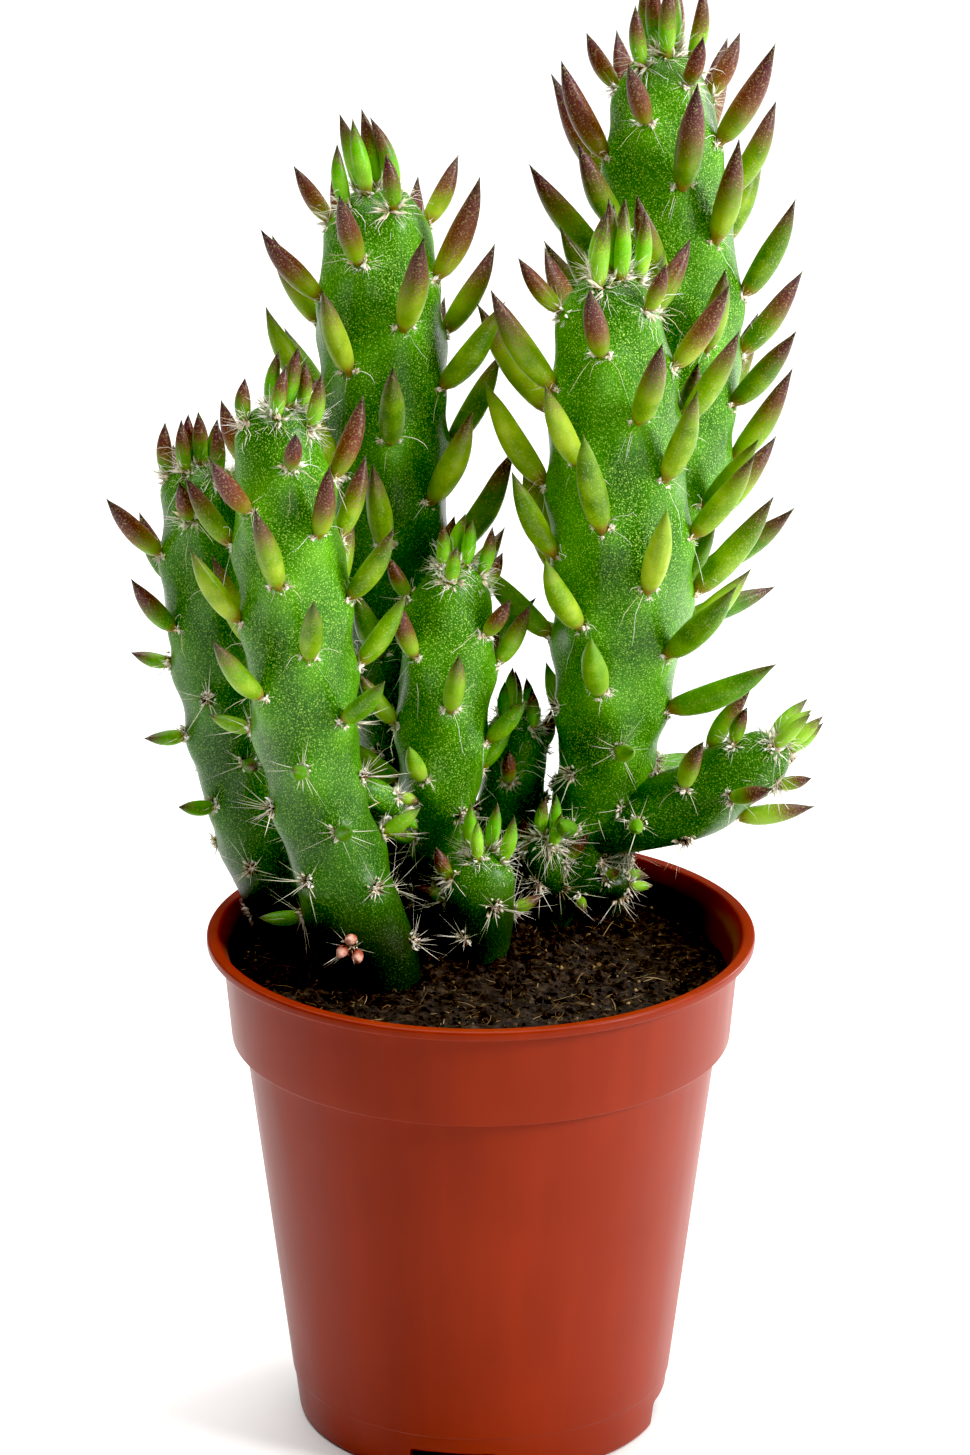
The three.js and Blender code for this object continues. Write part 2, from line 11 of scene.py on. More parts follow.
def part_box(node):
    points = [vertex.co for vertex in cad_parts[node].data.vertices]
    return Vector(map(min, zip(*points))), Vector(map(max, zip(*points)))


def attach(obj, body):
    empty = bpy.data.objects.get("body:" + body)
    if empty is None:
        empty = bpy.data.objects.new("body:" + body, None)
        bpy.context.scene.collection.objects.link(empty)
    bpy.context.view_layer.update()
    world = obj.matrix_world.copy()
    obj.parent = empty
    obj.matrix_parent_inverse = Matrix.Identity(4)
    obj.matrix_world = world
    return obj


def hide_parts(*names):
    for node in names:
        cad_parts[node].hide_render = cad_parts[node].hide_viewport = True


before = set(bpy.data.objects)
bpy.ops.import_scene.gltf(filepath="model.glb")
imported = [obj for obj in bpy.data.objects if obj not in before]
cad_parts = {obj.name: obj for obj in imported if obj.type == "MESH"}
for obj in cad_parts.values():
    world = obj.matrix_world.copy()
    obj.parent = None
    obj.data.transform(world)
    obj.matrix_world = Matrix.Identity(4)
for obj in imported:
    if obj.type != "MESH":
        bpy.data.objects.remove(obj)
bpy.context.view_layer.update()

# Places are worked out in millimetres from the foot of the pot's axis, with the front towards -Y.
MM = 0.001
pot_low, pot_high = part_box("pot")
POT_FOOT = np.array([(pot_low.x + pot_high.x) / 2, (pot_low.y + pot_high.y) / 2, 0.0])

# Pot
POT_HEIGHT = 98.9
LIP_RADIUS = 52.5
LIP_WIDTH = 2.3
LIP_THICKNESS = 1.9
COLLAR_TOP_RADIUS = 49.6
COLLAR_FOOT_RADIUS = 47.9
COLLAR_FOOT_Z = 78.2
INNER_STEP_DROP = 1.2
LIP_SLOPE = 1.5
BODY_TOP_RADIUS = 45.5
BASE_RADIUS = 35.8
BASE_LINE_Z = 9.0
BASE_LINE_DEPTH = 0.22
WALL = 1.3
FLOOR_UNDERSIDE = 3.0
FLOOR_TOP = 4.6
FOOT_WIDTH = 2.4
NOTCH_COUNT = 4
NOTCH_TURN = -8.5
NOTCH_WIDTH = 16.8
NOTCH_HEIGHT = 5.6
NOTCH_DEPTH = 7.4
NOTCH_START = 2.7
NOTCH_ROUNDING = 0.8
DRAIN_RADIUS = 3.5
DRAIN_CIRCLE = 21.0
POT_COLUMNS = 160
POT_ROW_SPACING = 4.0

# Soil
SOIL_Z = 91.0
HEAP_HEIGHT = 3.0
HEAP_WIDTH = 24.0
HEAP_CENTRE = (-4.0, 14.0)
LUMP_HEIGHT = 0.5
GAP = 0.3
CLOD_WIDTH = 5.0
CLOD_HEIGHT = 0.7
GRIT_WIDTH = 1.4
GRIT_HEIGHT = 0.4
RIM_SAG = 0.8
RIM_SAG_WIDTH = 2.5
OPEN_FROM_RIM = 4.2
SOIL_SECTORS = 200
SOIL_RINGS = 84

# Stems: drops are measured down from the crown
CROWN_ROUND = 3.0
CROWN_CENTRE = 0.1
CROWN_CROWDING = 1.5
FOOT_ROUND = 1.0
DROP_SPREAD = 0.8
TURN_SPREAD = 10.0
LOWEST_GROWTH = 96.5
BARE_FOOT = 4.0
BUMP_HEIGHT = 1.5
BUMP_MOST = 1.6
BUMP_LENGTH = 4.8
BUMP_REACH = 2.5
BUMP_WIDTH = 4.2
BUMP_DROP = 2.2
HOLLOW = 0.4
BUMPS_FROM_CROWN = (0, 5)
BUMPS_FROM_FOOT = (8, 40)
RING_SPACING = 1.05
SIDE_SPACING = 0.9
LEAST_SIDES = 24
WAVE_HEIGHT = 0.22
WAVE_LENGTH = 9.0
CROWN_SHADE = 0.55
CROWN_SHADE_DROPS = (2, 12)
SPLASH_AND_SHADE_Z = (93, 120)

# Leaves: shares of a full leaf's length, and openings from the stem in degrees
LEAF_CURVE = 0.14
LEAF_DEPTH = 1.1
LEAF_SINK = 1.6
LEAF_WIDTH = 1.9
LEAF_WIDENING = 0.145
LENGTH_SPREAD = 0.28
CROWN_LEAF = 0.64
CROWN_DROPS = (2, 5)
YOUNG_LEAF = 0.52
YOUNG_DROPS = (4, 20)
YOUNGEST_DROPS = (1.2, 4)
YOUNGEST_SLIMMER = 0.14
SHORT_LEAF = 0.5
SHORT_LEAF_SHARE = 0.3
CROWN_OPENING = 3.0
FULL_OPENING = 40.0
OPENING_DROPS = (0, 7)
LOW_OPENING = 84.0
LOW_SHARES = (0.7, 1.2)
LOW_GREEN_SHARES = (0.6, 1.1)
LEAN_SPREAD = 16.0

# Spines
SPINE_RADIUS = 0.3
SPINE_LENGTH = 5.5
SHORTEST_SPINE = 0.7
SPINE_SPREAD = 0.8
SPINE_OPENING = 42.0
SPINE_OPENING_SPREAD = 24.0
SPINES_PER_CLUSTER = 2
THICK_SPINE_WIDTH = 0.28
LONGEST_SPINE = 10.5
SPINE_CLEARANCE = 5.0
LEAST_REACH = 0.1

# Colour of the leaves: how green they stay, and where along them the maroon flush begins
YOUNGEST_FRESH = 0.9
LOW_FRESH = 0.85
SHORT_SHOOT_FRESH = 0.7
SHORT_SHOOT_LEAF = 16
USUAL_FRESH = 0.1
FLUSH_START = 0.86
FLUSH_SOONER = 0.47
LOW_FLUSH_LATER = 0.12
FLUSH_SPREAD = 0.3

# Wool: tufts stand at both sides of a leaf's root and below it. A shoot whose full leaf is small has less.
SMALL_LEAF = 10
WOOLLY_LEAF = 12
TUFT_ASIDE = 0.34
TUFT_BELOW = 0.4
TUFT_LEAN = 0.8
LOWER_TUFT = 0.7
CROWN_WOOL_DROP = 6

# Buds: places are across the areole and up it
BUD_AREOLE = 36
BUD_WIDTH = 2.3
BUD_LENGTH = 1.1 * BUD_WIDTH
BUD_PARTING = 0.25
BUD_PLACES = ((-1.3, 0.2), (1.0, 1.5), (0.7, -1.4))

# Half widths of what is drawn out, as shares of the widest at shares of the length
LEAF_SHAPE = ((0, 0.5), (0.12, 0.82), (0.45, 1), (0.75, 0.66), (1, 0))
LEAF_PROFILE = ((0, 0.4), (0.05, 0.64), (0.14, 0.84), (0.28, 0.97), (0.4, 1.0), (0.56, 0.91), (0.72, 0.69),
                (0.86, 0.37), (0.95, 0.12), (1, 0.01))
SPINE_PROFILE = ((0, 1.0), (0.15, 0.85), (0.7, 0.5), (1, 0.03))
FELT_PROFILE = ((0, 0.6), (0.3, 1.0), (0.75, 0.85), (1, 0.05))
HAIR_PROFILE = ((0, 0.9), (0.5, 1.0), (1, 0.25))
BUD_PROFILE = ((0, 0.7), (0.3, 1.0), (0.7, 0.8), (0.92, 0.4), (1, 0.03))

# Clearance between what grows on different stems, and over the soil and the pot's rim
CLEARANCE = 0.7
LEAN_TRIES = (0, -12, -22, 14, -32)
BALL_STEP = 2.0
BURIED_LENGTH = 10.0
RIM_INSIDE = 6.0
RIM_OUTSIDE = 3.0

# What every kind of draw adds to a shoot's seed
ROLL = dict(turn=0, tint=5, flush=6, length=20, spine=30, drop=40, short=60, tuft=70, bare=70, leafy=71,
            pad=72, hair=73, lean=80, fan=90)

# Every shoot is a centre line from its foot to its crown, as rows of x, y, z and radius.
# turn is where its first full leaf stands, in degrees from the front towards +X, and step the turn from
# one leaf to the next one down. rise is the height between them, and first the drop from the crown to the
# first. leaf is a full leaf's length, and leafy the length of stem below the crown that carries them.
# crown is how many young leaves crowd at the top, and splay opens them more. blush brings more maroon,
# glow is how bright a green the youngest leaves are, and the shares of the length given for age and shade,
# down from the crown, are where the skin turns darker: as old skin, and as painted shade where other stems
# shade it.
USUAL = dict(crown=6, splay=0, blush=0, glow=1, aged=(0.42, 0.92), branches=())
PLANT = (
    dict(
        name="stem_tall_left",
        rows=((-15.6, 32, 80, 6.6), (-15.6, 32, 96, 7.4), (-15.5, 33, 113, 8.6), (-15.8, 34, 134, 9.8),
              (-16.7, 35, 154, 10.9), (-18, 36, 174, 11.6), (-18.6, 36, 194, 12.1), (-19.5, 36, 214, 11.8),
              (-19.7, 36, 227.5, 9.6), (-21.2, 36, 235.5, 5.4)),
        turn=29, step=-136.25, rise=2.68, first=3, leaf=21, leafy=100, seed=1, blush=0.12, aged=(0.05, 0.65),
    ),
    dict(
        name="stem_tallest",
        rows=((23, 31.5, 80, 4.8), (23, 31.5, 95, 5.2), (24.2, 37.5, 110, 6.6), (26.4, 44, 130, 8.6),
              (31, 49, 149.5, 10.2), (36, 51, 169, 10.8), (38.6, 53, 189, 11.2), (38.3, 54, 209, 12),
              (35.6, 55, 228.5, 12.4), (35.2, 56, 248, 9.2), (35.3, 56, 258, 5)),
        turn=169, step=-137.5, rise=2.4, first=2.9, leaf=22, leafy=112, seed=2, blush=0.25,
    ),
    dict(
        name="stem_thick_right",
        rows=((13, 22.5, 80, 5), (13, 22.5, 95, 5.4), (17, 23.6, 105.5, 6), (19.9, 24, 112, 6),
              (23.1, 24, 121, 8.4), (25.3, 23, 137.5, 10.8), (26.9, 22, 158, 13.2), (26.3, 22, 178, 13.3),
              (25, 22, 198, 12.2), (24.7, 22, 215, 9), (25.2, 22, 222.7, 4.6)),
        turn=188, step=-138.75, rise=2.54, first=2.4, leaf=22, leafy=86, seed=3, blush=0.02,
        branches=(
            dict(
                rows=((21, 24, 110.5, 5), (29, 22, 113.6, 6.8), (40.5, 20, 117.6, 7.2),
                      (46.2, 19, 121.4, 6.8), (55.3, 17, 128.3, 4.8), (58.5, 17, 130.9, 2.8)),
                turn=200, step=-137.5, rise=2.5, first=2.2, leaf=14.5, leafy=22, crown=4, splay=12, seed=4,
                blush=-0.1, glow=0, aged=(-0.75, 0.55),
            ),
            dict(
                rows=((13.5, 21, 98, 3.9), (12.4, 16.5, 107, 3.6), (13, 16, 112.9, 2.8)),
                turn=20, step=-137.5, rise=2.4, first=2, leaf=12, leafy=8, crown=3, splay=8, seed=5,
            ),
            dict(
                rows=((15, 23, 101, 3.6), (22, 22.5, 99.8, 3.8), (29, 23, 99.4, 2.8)),
                turn=90, step=-137.5, rise=2.4, first=1.8, leaf=7, leafy=2, crown=2, seed=6,
            ),
        ),
    ),
    dict(
        name="stem_front_left",
        rows=((-19.6, -7, 80, 7.4), (-19.6, -7, 94, 8), (-24.8, -7, 107.5, 9), (-30.4, -6, 127.3, 8.8),
              (-33.4, -6, 147.3, 9.9), (-34.5, -6, 167, 10.4), (-36.6, -6, 186.4, 9.2),
              (-36.9, -6, 198, 7.6), (-36.1, -6, 204.7, 4.8)),
        turn=288, step=-138.25, rise=2.8, first=3.4, leaf=16.5, leafy=62, seed=7, blush=0.15,
        aged=(0.35, 0.75),
        branches=(
            dict(
                rows=((-25, -4, 129, 2.4), (-19.5, -2, 127, 2.7), (-15, 0, 122, 2)),
                turn=60, step=-137.5, rise=2, first=1.4, leaf=8, leafy=4, crown=2, seed=8,
            ),
        ),
    ),
    dict(
        name="stem_far_left",
        rows=((-36, 12, 80, 6), (-36.2, 12, 94, 6.4), (-40.8, 15, 106, 7.6), (-44.7, 17, 118.3, 8.1),
              (-49, 17.5, 139, 8.3), (-52.1, 17, 159.6, 8.2), (-52.8, 16, 179.8, 7.2),
              (-53.1, 16, 187.3, 4.6)),
        turn=262, step=-138.5, rise=2.8, first=2.5, leaf=15.5, leafy=36, seed=9, blush=0.24, glow=0,
        aged=(-0.25, 0.5),
    ),
    dict(
        name="stem_middle",
        rows=((-7.6, 16, 80, 4.6), (-7.6, 16, 95, 4.9), (-7.9, 16, 113, 5.6), (-7.9, 15, 124, 7.7),
              (-7.1, 14, 140.5, 8.8), (-5.9, 14, 156.6, 8.2), (-4, 14, 168.6, 4.4)),
        turn=352, step=137.5, rise=2.9, first=3, leaf=13.5, leafy=48, seed=10, aged=(0.3, 0.85),
    ),
    dict(
        name="shoot_shaded",
        rows=((4, 32, 80, 4.8), (4, 32, 96, 5.2), (5.5, 31, 112, 5.9), (6.7, 30, 126, 5.8),
              (6.9, 30, 133, 4.4)),
        turn=40, step=-137.5, rise=3, first=2.4, leaf=12, leafy=16, crown=4, seed=11,
    ),
    dict(
        name="shoot_front",
        rows=((0.2, 3, 80, 4.8), (0.2, 3, 94, 5.4), (0, 2.6, 100, 6.1), (-0.2, 2, 108.2, 6.2),
              (-0.2, 2, 114.4, 4)),
        turn=75, step=-137.5, rise=2.3, first=2, leaf=14, leafy=9, crown=4, splay=14, seed=12,
    ),
)


def placed(points):
    """Points in millimetres from the foot of the pot's axis, as metres in the frame."""
    return np.asarray(points, float) * MM + POT_FOOT


def smooth(value, low, high):
    share = np.clip((np.asarray(value, float) - low) / (high - low), 0, 1)
    return share * share * (3 - 2 * share)


def draw(first, second):
    """A repeatable draw between 0 and 1 for two whole numbers."""
    wave = math.sin(first * 127.1 + second * 311.7) * 43758.5453
    return wave - math.floor(wave)


def unit(vectors):
    vectors = np.asarray(vectors, float)
    return vectors / np.linalg.norm(vectors, axis=-1, keepdims=True)


# Shoots


class Shoot:
    """A shoot's centre line and girth, and what stands where at any drop below its crown."""

    SAMPLES = 201

    def __init__(self, spec):
        self.__dict__.update(USUAL | spec)
        rows = np.array(self.rows, float)
        self.knots = np.vstack([2 * rows[0] - rows[1], rows, 2 * rows[-1] - rows[-2]])
        self.places = np.linspace(0, 1, self.SAMPLES)
        steps = np.linalg.norm(np.diff(self.curve(self.places)[:, :3], axis=0), axis=1)
        self.run = np.concatenate([[0], np.cumsum(steps)])
        self.length = self.run[-1]
        self.areoles = self.place_areoles()

    def roll(self, kind, n):
        return draw(n, self.seed + ROLL[kind])

    def curve(self, t):
        """Centre and radius at each share t of the rows, on a smooth curve through them."""
        count = len(self.rows) - 1
        t = np.atleast_1d(np.asarray(t, float)) * count
        start = np.minimum(t.astype(int), count - 1)
        w = (t - start)[:, None]
        before, near, far, after = (self.knots[start + k] for k in range(4))
        leave, arrive = (far - before) / 2, (after - near) / 2
        return (near + leave * w + (-3 * near + 3 * far - 2 * leave - arrive) * w**2
                + (2 * near - 2 * far + leave + arrive) * w**3)

    def at(self, drop):
        """Point, axis, front, side and radius at each drop below the crown."""
        drop = np.atleast_1d(np.asarray(drop, float))
        t = np.interp(np.clip(1 - drop / self.length, 0, 1) * self.length, self.run, self.places)
        here = self.curve(t)
        ends = self.curve(np.clip(t + 1e-4, 0, 1)) - self.curve(np.clip(t - 1e-4, 0, 1))
        axis = unit(ends[:, :3])
        front = unit(np.array([0.0, -1.0, 0.0]) + axis * axis[:, 1:2])
        top = np.minimum(drop / CROWN_ROUND, 1)
        bottom = np.minimum((self.length - drop) / FOOT_ROUND, 1)
        rounding = np.sqrt(np.maximum(0, 1 - (1 - top) ** 2) * np.maximum(0, 1 - (1 - bottom) ** 2))
        return here[:, :3], axis, front, np.cross(axis, front), here[:, 3] * rounding

    def place_areoles(self):
        """Number, drop and turn of every cushion that a leaf or spines grow from, from the crown down."""
        found = []
        n = -self.crown
        while True:
            drop = CROWN_CENTRE + self.first * ((n + self.crown) / self.crown) ** CROWN_CROWDING
            if n >= 0:
                drop = self.first + n * self.rise + DROP_SPREAD * (self.roll("drop", n) - 0.5)
            if drop > self.length - BARE_FOOT or self.at(drop)[0][0, 2] < LOWEST_GROWTH:
                return found
            swing = TURN_SPREAD * (self.roll("turn", n) - 0.5)
            found.append((n, drop, math.radians(self.turn + n * self.step + swing)))
            n += 1

    def bumps(self, drop, turn, radius):
        """Height of the swellings below the areoles, at each drop and turn."""
        height = np.zeros(np.broadcast(drop, turn).shape)
        for _, centre, bearing in (areole for areole in self.areoles if areole[0] >= 0):
            down = (drop - centre - BUMP_DROP) / BUMP_LENGTH
            across = np.arctan2(np.sin(turn - bearing), np.cos(turn - bearing)) * radius / BUMP_WIDTH
            height += np.where(np.abs(down) > BUMP_REACH, 0, BUMP_HEIGHT * np.exp(-down**2 - across**2))
        return np.minimum(height, BUMP_MOST)

    def bump_share(self, drop):
        """How much of their height the swellings have at each drop: they fade to the crown and the foot."""
        return smooth(drop, *BUMPS_FROM_CROWN) * smooth(self.length - drop, *BUMPS_FROM_FOOT)

    def surface(self, drop, turn):
        """Points of the skin, the axis, the way out, and the height of the swellings there."""
        drop, turn = np.broadcast_arrays(np.atleast_1d(drop), np.atleast_1d(turn))
        point, axis, front, side, radius = self.at(drop)
        out = front * np.cos(turn)[:, None] + side * np.sin(turn)[:, None]
        swelling = self.bump_share(drop) * (self.bumps(drop, turn, radius) - HOLLOW)
        return point + out * (radius + swelling)[:, None], axis, out, swelling

    def stand(self, drop, turn):
        """Point of the skin, axis and way out at one drop and turn."""
        return tuple(rows[0] for rows in self.surface(drop, turn)[:3])


def leaf_at(shoot, areole, extra_lean):
    """Where a leaf stands and how it lies, for one of its possible leans."""
    n, drop, turn = areole
    is_short = drop > shoot.leafy
    if is_short and shoot.roll("short", n) > SHORT_LEAF_SHARE:
        return None
    vary = 1 + LENGTH_SPREAD * (shoot.roll("length", n) - 0.5)
    crown = (CROWN_LEAF - YOUNG_LEAF) * (1 - float(smooth(drop, *CROWN_DROPS)))
    young = YOUNG_LEAF + crown + (1 - YOUNG_LEAF) * float(smooth(drop, *YOUNG_DROPS))
    length = shoot.leaf * (SHORT_LEAF if is_short else young) * vary
    low, low_green = (float(smooth(drop, *(share * shoot.leafy for share in shares)))
                      for shares in (LOW_SHARES, LOW_GREEN_SHARES))
    least = CROWN_OPENING + shoot.splay
    full = least + (FULL_OPENING - least) * float(smooth(drop, *OPENING_DROPS))
    opening = full + (LOW_OPENING - FULL_OPENING) * low
    lean = math.radians(opening + LEAN_SPREAD * (shoot.roll("lean", n) - 0.5) + extra_lean)
    point, axis, out = shoot.stand(drop, turn)
    along = axis * math.cos(lean) + out * math.sin(lean)
    lift = unit(axis - along * axis.dot(along))
    return dict(root=point, along=along, lift=lift, length=length, width=LEAF_WIDTH + LEAF_WIDENING * length,
                drop=drop, low=low_green, out=out, axis=axis)


def leaf_balls(leaf):
    shares = np.array([0.15, 0.3, 0.45, 0.6, 0.75, 0.88, 1])
    line = leaf["root"] + leaf["along"] * (leaf["length"] * shares)[:, None]
    rise = leaf["lift"] * (LEAF_CURVE * leaf["length"] * shares**2)[:, None]
    return np.column_stack([line + rise, leaf["width"] / 2 * np.interp(shares, *np.transpose(LEAF_SHAPE))])


def spines_at(shoot, areole):
    """The thickest spines of one bare cluster, which fan out round the way out of the stem."""
    n, drop, turn = areole
    if drop < shoot.leafy:
        return []
    point, axis, out = shoot.stand(drop, turn)
    side = np.cross(axis, out)
    found = []
    for k in range(SPINES_PER_CLUSTER):
        swing = math.radians((k + draw(n, shoot.seed + k)) * (360 / SPINES_PER_CLUSTER))
        opening = math.radians(SPINE_OPENING + SPINE_OPENING_SPREAD * shoot.roll("fan", n + k))
        round_out = axis * math.cos(swing) + side * math.sin(swing)
        along = out * math.cos(opening) + math.sin(opening) * round_out
        share = SHORTEST_SPINE + SPINE_SPREAD * shoot.roll("spine", n + k)
        found.append(dict(root=point, along=along, length=SPINE_LENGTH * share))
    return found


def spine_balls(spine):
    shares = np.array([0.25, 0.5, 0.75, 1])
    centres = spine["root"] + spine["along"] * (spine["length"] * shares)[:, None]
    return np.column_stack([centres, np.full(len(shares), SPINE_RADIUS)])


def body_balls(shoot):
    point, _, _, _, radius = shoot.at(np.arange(BALL_STEP / 2, shoot.length - BURIED_LENGTH, BALL_STEP))
    return np.column_stack([point, radius + BUMP_HEIGHT])


def is_clear(balls, others):
    out = np.hypot(balls[:, 0], balls[:, 1])
    floor = np.where(out > LIP_RADIUS - RIM_INSIDE, POT_HEIGHT, SOIL_Z + HEAP_HEIGHT + LUMP_HEIGHT)
    if np.any((out < LIP_RADIUS + RIM_OUTSIDE) & (balls[:, 2] - balls[:, 3] < floor + CLEARANCE)):
        return False
    away = np.linalg.norm(balls[:, None, :3] - others[None, :, :3], axis=2)
    return not np.any(away < balls[:, None, 3] + others[None, :, 3] + CLEARANCE)


def grow_all():
    """The shoots of every stem with their leaves and thick spines, by the same rule as the solids."""
    stems = [[Shoot(part) for part in (spec, *spec.get("branches", ()))] for spec in PLANT]
    taken = [[body_balls(shoot) for shoot in shoots] for shoots in stems]
    for i, shoots in enumerate(stems):
        others = np.vstack([balls for k, rows in enumerate(taken) if k != i for balls in rows])
        for shoot in shoots:
            shoot.leaves, shoot.spines = [], []
            for areole in shoot.areoles:
                for extra_lean in LEAN_TRIES:
                    leaf = leaf_at(shoot, areole, extra_lean)
                    if leaf and is_clear(leaf_balls(leaf), others):
                        shoot.leaves.append(leaf)
                        taken[i].append(leaf_balls(leaf))
                        break
                for spine in spines_at(shoot, areole):
                    if is_clear(spine_balls(spine), others):
                        shoot.spines.append(spine)
                        taken[i].append(spine_balls(spine))
    return stems


# Nodes: the kinds used most, and settings that many of them share
ATTRIBUTE = "ShaderNodeAttribute"
BUMP = "ShaderNodeBump"
COORDINATES = "ShaderNodeTexCoord"
MATH = "ShaderNodeMath"
MIX = "ShaderNodeMix"
NOISE = "ShaderNodeTexNoise"
OUTPUT = "ShaderNodeOutputMaterial"
PRINCIPLED = "ShaderNodeBsdfPrincipled"
RAMP = "ShaderNodeValToRGB"
RANGE = "ShaderNodeMapRange"
VECTOR = "ShaderNodeVectorMath"
GROUP = "GeometryNodeGroup"
GROUP_OUTPUT = "NodeGroupOutput"
INSTANCES = "GeometryNodeInstanceOnPoints"
POSITION = "GeometryNodeInputPosition"
RANDOM = "FunctionNodeRandomValue"
READ = "GeometryNodeInputNamedAttribute"
REALIZE = "GeometryNodeRealizeInstances"
SET_MATERIAL = "GeometryNodeSetMaterial"
SET_POSITION = "GeometryNodeSetPosition"
STORE = "GeometryNodeStoreNamedAttribute"
STREW = "GeometryNodeDistributePointsOnFaces"
PLUS = dict(operation="ADD")
MINUS = dict(operation="SUBTRACT")
TIMES = dict(operation="MULTIPLY")
TIMES_PLUS = dict(operation="MULTIPLY_ADD")
SMOOTH = dict(interpolation_type="SMOOTHSTEP")
COLOURS = dict(data_type="RGBA")
VECTORS = dict(data_type="FLOAT_VECTOR")

# Values that the growth trees use: noise runs round its middle, and roots are spread apart to wander apart
NOISE_MIDDLE = (0.5, 0.5, 0.5)
ROOTS_APART = (40.0, 40.0, 40.0)
OFF_AXIS = (0.001, 0.002, 0.003)
DOWN = (0.0, 0.0, -1.0)
FAN_SINK = 0.0003
WIDTH_SPREAD = (0.75, 1.25)


def colour(hex_text):
    """An sRGB hex colour as linear red, green, blue and alpha."""
    parts = [int(hex_text[i:i + 2], 16) / 255 for i in (1, 3, 5)]
    return (*(c / 12.92 if c <= 0.04045 else ((c + 0.055) / 1.055) ** 2.4 for c in parts), 1.0)


def add_node(tree, kind, *inputs, pick=None, stops=(), **more):
    """One more node in a tree, and the output of it that is picked, or else the first in use.

    Inputs in use are filled or linked in order, and a word with a capital fills the input of that name.
    Words in small letters are settings. stops are a ramp's shares and hex colours.
    """
    node = tree.nodes.new(kind)
    for name, value in more.items():
        if name[0].islower():
            setattr(node, name, value)
    named = {name.replace("_", " "): value for name, value in more.items() if name[0].isupper()}
    filled = list(zip([socket for socket in node.inputs if socket.enabled], inputs))
    filled += [(node.inputs[name], value) for name, value in named.items()]
    for socket, value in filled:
        if isinstance(value, bpy.types.NodeSocket):
            tree.links.new(value, socket)
        else:
            socket.default_value = value
    for _ in stops[2:]:
        node.color_ramp.elements.new(0.5)
    for k, (share, hex_text) in enumerate(stops):
        node.color_ramp.elements[k].position = share
        node.color_ramp.elements[k].color = colour(hex_text)
    in_use = [socket for socket in node.outputs if socket.enabled]
    return node.outputs[pick] if pick else next(iter(in_use), None)


# Looks


def new_material(name):
    """A material with an empty tree, and the function that adds its nodes."""
    material = bpy.data.materials.new(name)
    material.use_nodes = True
    material.node_tree.nodes.clear()
    return material, partial(add_node, material.node_tree)


def ramped_material(name, label, stops, **shader):
    """A material whose colour runs through the stops by one attribute."""
    material, add = new_material(name)
    level = add(ATTRIBUTE, attribute_name=label, pick="Fac")
    add(OUTPUT, add(PRINCIPLED, add(RAMP, level, stops=stops), **shader))
    return material


def cactus_skin():
    """Cactus epidermis, grown: thick waxy green skin, satin gloss, dotted with pale breathing pores."""
    material, add = new_material("cactus_skin")
    place = add(COORDINATES, pick="Object")
    swell, age, foot = (
        add(ATTRIBUTE, attribute_name=label, pick="Fac") for label in ("swell", "age", "foot"))
    # Patches 14 mm wide shift the green. Old skin is darker and bluer, and the same darkening is painted
    # shade near the crown and where other stems shade the skin.
    patches = add(NOISE, place, 1 / 0.014, 3.0)
    # Painted shade: the skin is lighter on the swellings and darker in the hollows between them.
    tone = add(MATH, swell, 0.3, patches, **TIMES_PLUS)
    green = add(
        RAMP, tone, stops=((0.25, "#184702"), (0.5, "#2c6c03"), (0.72, "#448a05"), (0.95, "#64aa0e")))
    old_and_shaded = add(RAMP, tone, stops=((0.25, "#0e2f06"), (0.55, "#1b4e08"), (0.9, "#326c10")))
    skin = add(MIX, age, green, old_and_shaded, **COLOURS)
    # Pores are pale dots 0.5 mm apart, over short worm-like marks 0.3 mm apart, and fainter on old skin
    # and on skin darkened as painted shade.
    marks = add(RANGE, add(NOISE, place, 1 / 0.0003, 1.0), 0.5, 0.62, 0.0, 0.3, **SMOOTH)
    dots = add(RANGE, add("ShaderNodeTexVoronoi", place, 1 / 0.0005), 0.34, 0.14, 0.0, 0.95, **SMOOTH)
    kept = add(RANGE, age, 0.0, 1.0, 1.0, 0.5)
    shown = add(MATH, add(MATH, dots, marks, operation="MAXIMUM"), kept, **TIMES)
    dotted = add(MIX, shown, skin, colour("#b2e45a"), **COLOURS)
    # The foot of every stem is darkened to a dull near-black brown: soil that has splashed on it, and
    # painted shade where the stems crowd over the soil.
    soiled_and_shaded = add(RANGE, add(MATH, patches, foot, **PLUS), 0.6, 1.45, 0.0, 0.9, **SMOOTH)
    footed = add(MIX, soiled_and_shaded, dotted, colour("#1a1c0d"), **COLOURS)
    # The pores stand up a little, and the skin undulates over 3 mm.
    height = add(MATH, add(NOISE, place, 1 / 0.003, 2.0), 2.0, shown, **TIMES_PLUS)
    add(OUTPUT, add(
        PRINCIPLED, footed, Roughness=add(RANGE, patches, 0.3, 0.7, 0.25, 0.44),
        Normal=add(BUMP, 0.5, 0.00015, Height=height), IOR=1.4, Specular_IOR_Level=0.42,
        Subsurface_Weight=0.05, Subsurface_Scale=0.001, Subsurface_Radius=(0.5, 1.0, 0.15)))
    return material


